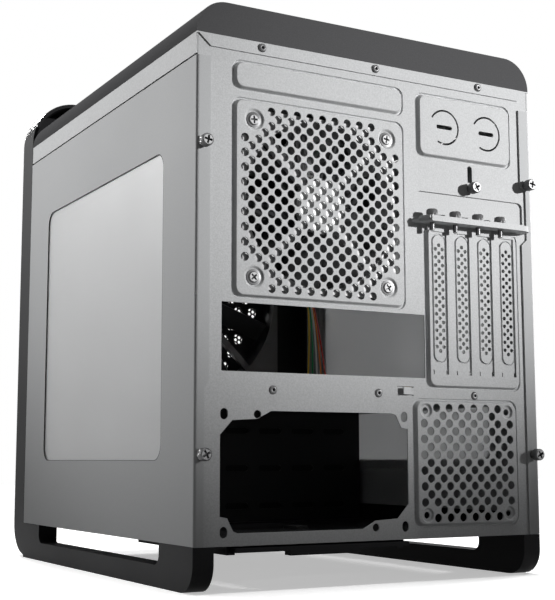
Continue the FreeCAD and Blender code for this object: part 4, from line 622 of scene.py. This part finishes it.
def lathe(form, place, profile, steps):
    """Adds a turned form; a point at no radius closes it."""
    loops = []
    for radius, height, *teeth in profile:
        if radius == 0:
            loops.append([form.verts.new(place @ Vector((0, 0, height * MM)))])
            continue
        spots = []
        for k in range(steps):
            turn = 2 * math.pi * k / steps
            reach = (radius + (teeth[0] if teeth and k % 2 else 0)) * MM
            spot = Vector((reach * math.cos(turn), reach * math.sin(turn), height * MM))
            spots.append(form.verts.new(place @ spot))
        loops.append(spots)
    for first, second in zip(loops, loops[1:]):
        for i in range(steps):
            j = (i + 1) % steps
            corners = [first[i % len(first)], first[j % len(first)], second[j % len(second)],
                       second[i % len(second)]]
            form.faces.new(list(dict.fromkeys(corners)))


def cross(reach, half, turn):
    """A screwdriver's cross."""
    corners = [(reach, -half), (reach, half), (half, half), (half, reach), (-half, reach), (-half, half),
               (-reach, half), (-reach, -half), (-half, -half), (-half, -reach), (half, -reach),
               (half, -half)]
    cos, sin = math.cos(turn), math.sin(turn)
    return [(x * cos - z * sin, x * sin + z * cos) for x, z in corners]


def headed(form, place, profile, face, turn):
    """Adds a screw: a turned form whose face has a pocket, closed by a disc with a cross cut through it."""
    radius, recess, reach, half = face
    top = profile[-1][1]
    lathe(form, place, profile + [(radius, top), (radius, top - recess), (0, top - recess)], 48)
    disc = place @ Matrix.Translation((0, 0, (top - recess / 2) * MM))
    before = len(form.faces)
    flat(form, circle(0, 0, 2 * radius, 40), [cross(reach, half, turn)], recess, disc)
    form.faces.ensure_lookup_table()
    back = place.inverted()
    # Painted highlight: the disc's outward faces take the second, lighter material, as if lit, while the rest
    # stays dark.
    for cap in form.faces[before:]:
        if min((back @ vertex.co).z for vertex in cap.verts) > (top - 0.1) * MM:
            cap.material_index = 1


def standing(side, depth, level):
    """A place with its own axis pointing up."""
    return Matrix.Translation(at(side, depth, level))


def facing(side, depth, level):
    """A place on the rear, with its own axis pointing backwards."""
    return standing(side, depth, level) @ Matrix.Rotation(-math.pi / 2, 4, "X")


def screws(name, body, places, profile, face):
    """The screws of one node, each turned to its own angle."""
    form = bmesh.new()
    for number, place in enumerate(places):
        headed(form, place, profile, face, 0.5 + 0.9 * number)
    made = replace(name, form, f"{name}_detail", SCREW, body, 40)
    # The second material is the painted highlight on each screw's face.
    made.data.materials.append(PAINTED_HIGHLIGHT)


def rivet_heads():
    """The hollow rivets of the top frame and of the board's tray."""
    form = bmesh.new()
    for depth, rivets in ((SKIN_FACE, TOP_RIVETS), (0, TRAY_RIVETS)):
        for side, level in rivets:
            lathe(form, facing(side, depth, level), RIVET, 28)
    replace("rivets", form, "rivet_heads", SCREW, "case", 40)


for k, hand in ((1, "left"), (-1, "right")):
    places = [facing(k * PANEL_SCREW_SIDE, SKIN_FACE, level) for level in PANEL_SCREW_LEVELS]
    screws(f"panel_thumbscrews_{hand}", f"{hand}_panel", places, THUMB, THUMB_FACE)
screws("plate_thumbscrew", "slot_hatch", [facing(SLOT_MIDDLE, -0.3, PLATE_SCREW_LEVEL)], THUMB, THUMB_FACE)
screws("rear_fan_screws", "case", [facing(side, DIMPLE_FLOOR, level) for side, level in FAN_CORNERS],
       PAN, PAN_FACE)
screws("slot_thumbscrews", "case", [standing(side + 9, -6.5, LEDGE_TOP + COVER_STEEL) for side in SLOTS],
       SLOT_THUMB, SLOT_THUMB_FACE)
rivet_heads()


# Side panels

FOLD = 2.0
FLANGE_STEPS = {"left": [(6.6, 98), (10, 104)],
                "right": [(10, 211.4), (5.2, 215.4), (5.2, 252.8), (10, 255.5)]}
WINDOW_DEPTHS = (51, 292.5)
WINDOW_LEVELS = (53.5, 261)
WINDOW_CORNER = 11
SEAM = 0.9
# The painted shade ring in a window's seam: its thickness, and how far it stands out.
SEAM_SHADE_THICK = 0.7
SEAM_SHADE_OUT = 0.15


def window_edge(gap):
    """The outline of a side window with a gap round it."""
    (near, far), (low, high) = WINDOW_DEPTHS, WINDOW_LEVELS
    return rounded((near + far) / 2, (low + high) / 2, far - near + gap, high - low + gap, WINDOW_CORNER, 8)


def beside(k):
    """The middle of a side panel's sheet, with depths and levels as its axes."""
    return Matrix(((0, 0, -1, k * (HALF - STEEL / 2) * MM), (-1, 0, 0, REAR * MM), (0, 1, 0, FOOT * MM),
                   (0, 0, 0, 1)))


def fold_arc(k, radius):
    """One side of the round fold between a skin and its flange."""
    turns = [math.pi / 2 * n / 8 for n in range(9)]
    return [(k * (HALF - FOLD + radius * math.cos(a)), SKIN_FACE + FOLD - radius * math.sin(a))
            for a in turns]


def skin(k, hand):
    """A folded skin: its window side, its rear flange with a stepped edge, and the round fold between."""
    node = f"side_panel_{hand}"
    low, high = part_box(node)
    base, top = low.z / MM - FOOT, high.z / MM - FOOT - SEAM
    form = bmesh.new()
    outline = oblong(SKIN_FACE + FOLD, REAR - low.y / MM, base, top)
    flat(form, outline, [window_edge(SEAM)], STEEL, beside(k))
    steps = FLANGE_STEPS[hand]
    widths = [(FOLD, base), (steps[0][0], base), *steps, (steps[-1][0], top), (FOLD, top)]
    flange = [(k * (HALF - width), level) for width, level in widths]
    holes = [circle(k * PANEL_SCREW_SIDE, level, 3.4) for level in PANEL_SCREW_LEVELS]
    plate(form, flange, holes, SKIN_FACE, SKIN_FACE + STEEL)
    column(form, fold_arc(k, FOLD) + fold_arc(k, FOLD - STEEL)[::-1], base, top)
    replace(node, form, f"{hand}_skin", SKIN, f"{hand}_panel", 30)


def seam_shade_ring(k, hand):
    """A dark ring that fills the seam round a side window: painted shade standing for the gap's shadow."""
    form = bmesh.new()
    place = beside(k) @ Matrix.Translation((0, 0, -SEAM_SHADE_OUT * k * MM))
    flat(form, window_edge(SEAM), [window_edge(0)], SEAM_SHADE_THICK, place)
    # Painted shade: the dark ring stands for the seam's shadow.
    keep(form, f"{hand}_gasket", RUBBER_AND_SEAM_SHADE, f"{hand}_panel", 30)


for k, hand in ((1, "left"), (-1, "right")):
    skin(k, hand)
    seam_shade_ring(k, hand)


# Slot covers

COVER_HALF = 8.7
TAB_HALF = 5.1
TAB_END = -11.4
OVAL = (10.8, 91, 5.35)
OVAL_LEVEL = 167
OVAL_RISE = 0.6


def slot_cover(number, side):
    """A cover with a raised oval, its holes, and the tab that lies on the ledge."""
    form = bmesh.new()
    face, top = -STEEL, LEDGE_TOP + COVER_STEEL
    half, tongue = COVER_HALF, TAB_HALF
    outline = [(side - half, top), (side - half, 119), (side - tongue, 115.4), (side - tongue, 106.2),
               (side + tongue, 106.2), (side + tongue, 115.4), (side + half, 119), (side + half, top)]

    def oval(inset):
        width, height, corner = OVAL
        return rounded(side, OVAL_LEVEL, width - 2 * inset, height - 2 * inset, corner - inset, 8)

    plate(form, outline, [oval(-0.7)], face, face + COVER_STEEL)
    raised = face - OVAL_RISE
    outer = [(-0.7, face), (-0.4, face + 0.6), (0, face + 0.7), (0.3, face), (0.5, raised)]
    band(form, outer + [(inset, depth + COVER_STEEL) for inset, depth in reversed(outer)], oval)
    rows = [(0, n - 6.5) for n in range(14)] + [(a, n - 6) for a in (-3, 3) for n in range(13)]
    holes = [circle(side + x, OVAL_LEVEL + 5.8 * n, 2.8, 14) for x, n in rows]
    plate(form, oval(0.5), holes, raised, raised + COVER_STEEL)
    slab(form, (side - half, side + half), (TAB_END, face + COVER_STEEL), (LEDGE_TOP, top))
    replace(f"slot_cover_{number}", form, f"cover_{number}", SHEET, "case", 35)


for number, side in enumerate(SLOTS, 1):
    slot_cover(number, side)


# Plate over the slots' window

def hatch_plate():
    """The sliding plate, low enough to leave the guide slot open above its screw."""
    low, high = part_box("slot_plate")
    form = bmesh.new()
    left, right = high.x / MM, low.x / MM
    base, top = low.z / MM - FOOT, 254.0
    near, far = REAR - high.y / MM, REAR - low.y / MM
    outline = rounded((left + right) / 2, (base + top) / 2, left - right, top - base, 4)
    plate(form, outline, [circle(SLOT_MIDDLE, PLATE_SCREW_LEVEL, 3.4)], near, far)
    replace("slot_plate", form, "hatch_plate", SHEET, "slot_hatch", 35)


hatch_plate()


# Front grille and the fan opening behind it

MESH_PITCH = 4.4
MESH_HOLE = 2.8
MESH_THICK = 0.7
MESH_MARGIN = 4
RIM_WIDTH = 8
RIM_CORNER = 29


def hexagon(side, level, across):
    """The corners of an upright hexagon that is so wide across its flats."""
    reach = across / math.sqrt(3)
    turns = [math.pi / 3 * k for k in range(6)]
    return [(side + reach * math.cos(a), level + reach * math.sin(a)) for a in turns]


def front_mesh():
    """A fine hexagonal mesh in a plain rim."""
    low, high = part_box("front_grille")
    side, base, top = high.x / MM, low.z / MM - FOOT, high.z / MM - FOOT
    depth = REAR - (low.y + high.y) / 2 / MM
    middle, tall = (base + top) / 2, top - base
    thick = (high.y - low.y) / MM
    form = bmesh.new()
    inside = rounded(0, middle, 2 * side - 2 * RIM_WIDTH, tall - 2 * RIM_WIDTH, RIM_CORNER - RIM_WIDTH)
    outline = rounded(0, middle, 2 * side, tall, RIM_CORNER)
    plate(form, outline, [inside], depth - thick / 2, depth + thick / 2)
    rise = MESH_PITCH * math.sqrt(3) / 2
    shared = {}

    def corner(x, z, face):
        key = (round(x * 100), round(z * 100), face)
        if key not in shared:
            shared[key] = form.verts.new(at(x, face, z))
        return shared[key]

    faces = (depth - MESH_THICK / 2, depth + MESH_THICK / 2)
    columns, rows = int((side - 7) / rise), int((tall - 12) / MESH_PITCH / 2)
    for i in range(-columns, columns + 1):
        for j in range(-rows, rows + 1):
            x, z = i * rise, middle + (j + (i % 2) / 2) * MESH_PITCH
            beyond = max(abs(x) - (side - RIM_CORNER), 0), max(abs(z - middle) - (tall / 2 - RIM_CORNER), 0)
            if math.hypot(*beyond) > RIM_CORNER - MESH_MARGIN or abs(z - middle) > tall / 2 - MESH_MARGIN:
                continue
            rings = [[corner(a, b, face) for a, b in hexagon(x, z, MESH_PITCH)] for face in faces]
            holes = [[form.verts.new(at(a, face, b)) for a, b in hexagon(x, z, MESH_HOLE)] for face in faces]
            for k in range(6):
                n = (k + 1) % 6
                form.faces.new((rings[0][k], rings[0][n], holes[0][n], holes[0][k]))
                form.faces.new((rings[1][n], rings[1][k], holes[1][k], holes[1][n]))
                form.faces.new((holes[0][k], holes[0][n], holes[1][n], holes[1][k]))
    replace("front_grille", form, "front_mesh", INNER, "case", 0)


front_mesh()


GUARD_LEVEL = 207
GUARD_PITCH = 15.0
GUARD_HOLE = 9.6
GUARD_REACH = 93.4
GUARD_BORDER = 7.4


def fan_guard():
    """The perforated disc in the front sheet's fan opening, seen through the port opening."""
    form = bmesh.new()
    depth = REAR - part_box("chassis_front")[0].y / MM
    rise = GUARD_PITCH * math.sqrt(3) / 2
    places = [((i + (j % 2) / 2) * GUARD_PITCH, j * rise) for j in range(-7, 8) for i in range(-7, 8)]
    holes = [circle(x, GUARD_LEVEL + z, GUARD_HOLE, 16) for x, z in places
             if math.hypot(x, z) < GUARD_REACH - GUARD_BORDER]
    plate(form, circle(0, GUARD_LEVEL, 2 * GUARD_REACH, 72), holes, depth - STEEL, depth)
    keep(form, "fan_guard", INNER, "case", 35)


fan_guard()


# Rear fan

HUB_DISC = 35
HUB_DISC_PROUD = 0.15


def hub_disc():
    """The plain pale disc on the middle of the rear fan's frame."""
    form = bmesh.new()
    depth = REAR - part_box("rear_fan_frame")[1].y / MM
    plate(form, circle(*FAN_MIDDLE, HUB_DISC, 48), [], depth - HUB_DISC_PROUD, depth)
    keep(form, "hub_disc", PALE, "case", 35)


hub_disc()


# Stage, lights and camera

def camera():
    """The photograph's camera: its place, its way of looking and its lens."""
    yaw, pitch, roll = (math.radians(a) for a in (29.09, 7.51, -0.09))
    data = bpy.data.cameras.new("camera")
    data.sensor_width = 36
    data.lens = 72.4
    data.clip_start = 0.01
    body = bpy.data.objects.new("camera", data)
    bpy.context.scene.collection.objects.link(body)
    body.location = at(HALF + 321.0, -684.7, 54.1)
    ahead = Vector((-math.sin(yaw) * math.cos(pitch), -math.cos(yaw) * math.cos(pitch), math.sin(pitch)))
    level = ahead.to_track_quat("-Z", "Y").to_matrix()
    body.rotation_euler = (level @ Matrix.Rotation(roll, 3, "Z")).to_euler()
    bpy.context.scene.camera = body


def lamp(kind, name, place, target, power):
    """A lamp that points at a target."""
    data = bpy.data.lights.new(name, kind)
    data.energy = power
    made = bpy.data.objects.new(name, data)
    bpy.context.scene.collection.objects.link(made)
    made.location = place
    made.rotation_euler = (Vector(target) - Vector(place)).to_track_quat("-Z", "Y").to_euler()
    return data


def soft_spot(name, place, target, power, spread, radius):
    """A lamp whose light fades softly towards the edge of its beam."""
    data = lamp("SPOT", name, place, target, power)
    data.spot_size = math.radians(spread)
    data.spot_blend = 1.0
    data.shadow_soft_size = radius


def seen_white(tree, lit):
    """White to the camera and in reflections, and a plain level of light for everything else."""
    rays = tree.nodes.new("ShaderNodeLightPath")
    seen = rays.outputs["Is Camera Ray"]
    for kind in ("Is Glossy Ray", "Is Transmission Ray"):
        either = tree.nodes.new("ShaderNodeMath")
        either.operation = "MAXIMUM"
        tree.links.new(seen, either.inputs[0])
        tree.links.new(rays.outputs[kind], either.inputs[1])
        seen = either.outputs[0]
    return ramp(tree, seen, 0, 1, lit, 1.0)


def world():
    """A white background that lights the scene only a little."""
    made = bpy.data.worlds.new("studio")
    made.use_nodes = True
    tree = made.node_tree
    back = tree.nodes["Background"]
    back.inputs["Color"].default_value = (1, 1, 1, 1)
    tree.links.new(seen_white(tree, 0.07), back.inputs["Strength"])
    bpy.context.scene.world = made


def floor():
    """A pale floor that catches the case's soft shadow."""
    data = bpy.data.meshes.new("floor")
    form = bmesh.new()
    bmesh.ops.create_grid(form, x_segments=1, y_segments=1, size=3.0)
    form.to_mesh(data)
    form.free()
    ground = bpy.data.objects.new("floor", data)
    bpy.context.scene.collection.objects.link(ground)
    made, tree, main = shader("floor")
    seen = seen_white(tree, 0.0)
    tint(tree, main, seen, (0.10, 0.10, 0.10), (0.93, 0.93, 0.93))
    main.inputs["Roughness"].default_value = 0.8
    main.inputs["Specular IOR Level"].default_value = 0.0
    main.inputs["Emission Color"].default_value = (1, 1, 1, 1)
    tree.links.new(ramp(tree, seen, 0, 1, 0, 0.46), main.inputs["Emission Strength"])
    data.materials.append(made)


camera()
world()
floor()
soft_spot("key", (-1.75, 1.95, 0.72), (-0.06, 0.18, 0.318), 455, 12.7, 0.06)
soft_spot("left", (1.8, -1.8, 1.0), (0.14, -0.03, 0.39), 295, 18.5, 0.1)
soft_spot("front", (-0.3, -2.6, 1.3), (0, -0.18, 0.2), 330, 25, 0.25)
soft_spot("right", (-2.5, -0.5, 1.2), (-0.14, 0, 0.2), 150, 25, 0.25)
above = lamp("SUN", "above", (0, 0, 3), (0, 0, 0), 2.1)
above.angle = math.radians(20)
bpy.context.scene.view_settings.view_transform = "Standard"
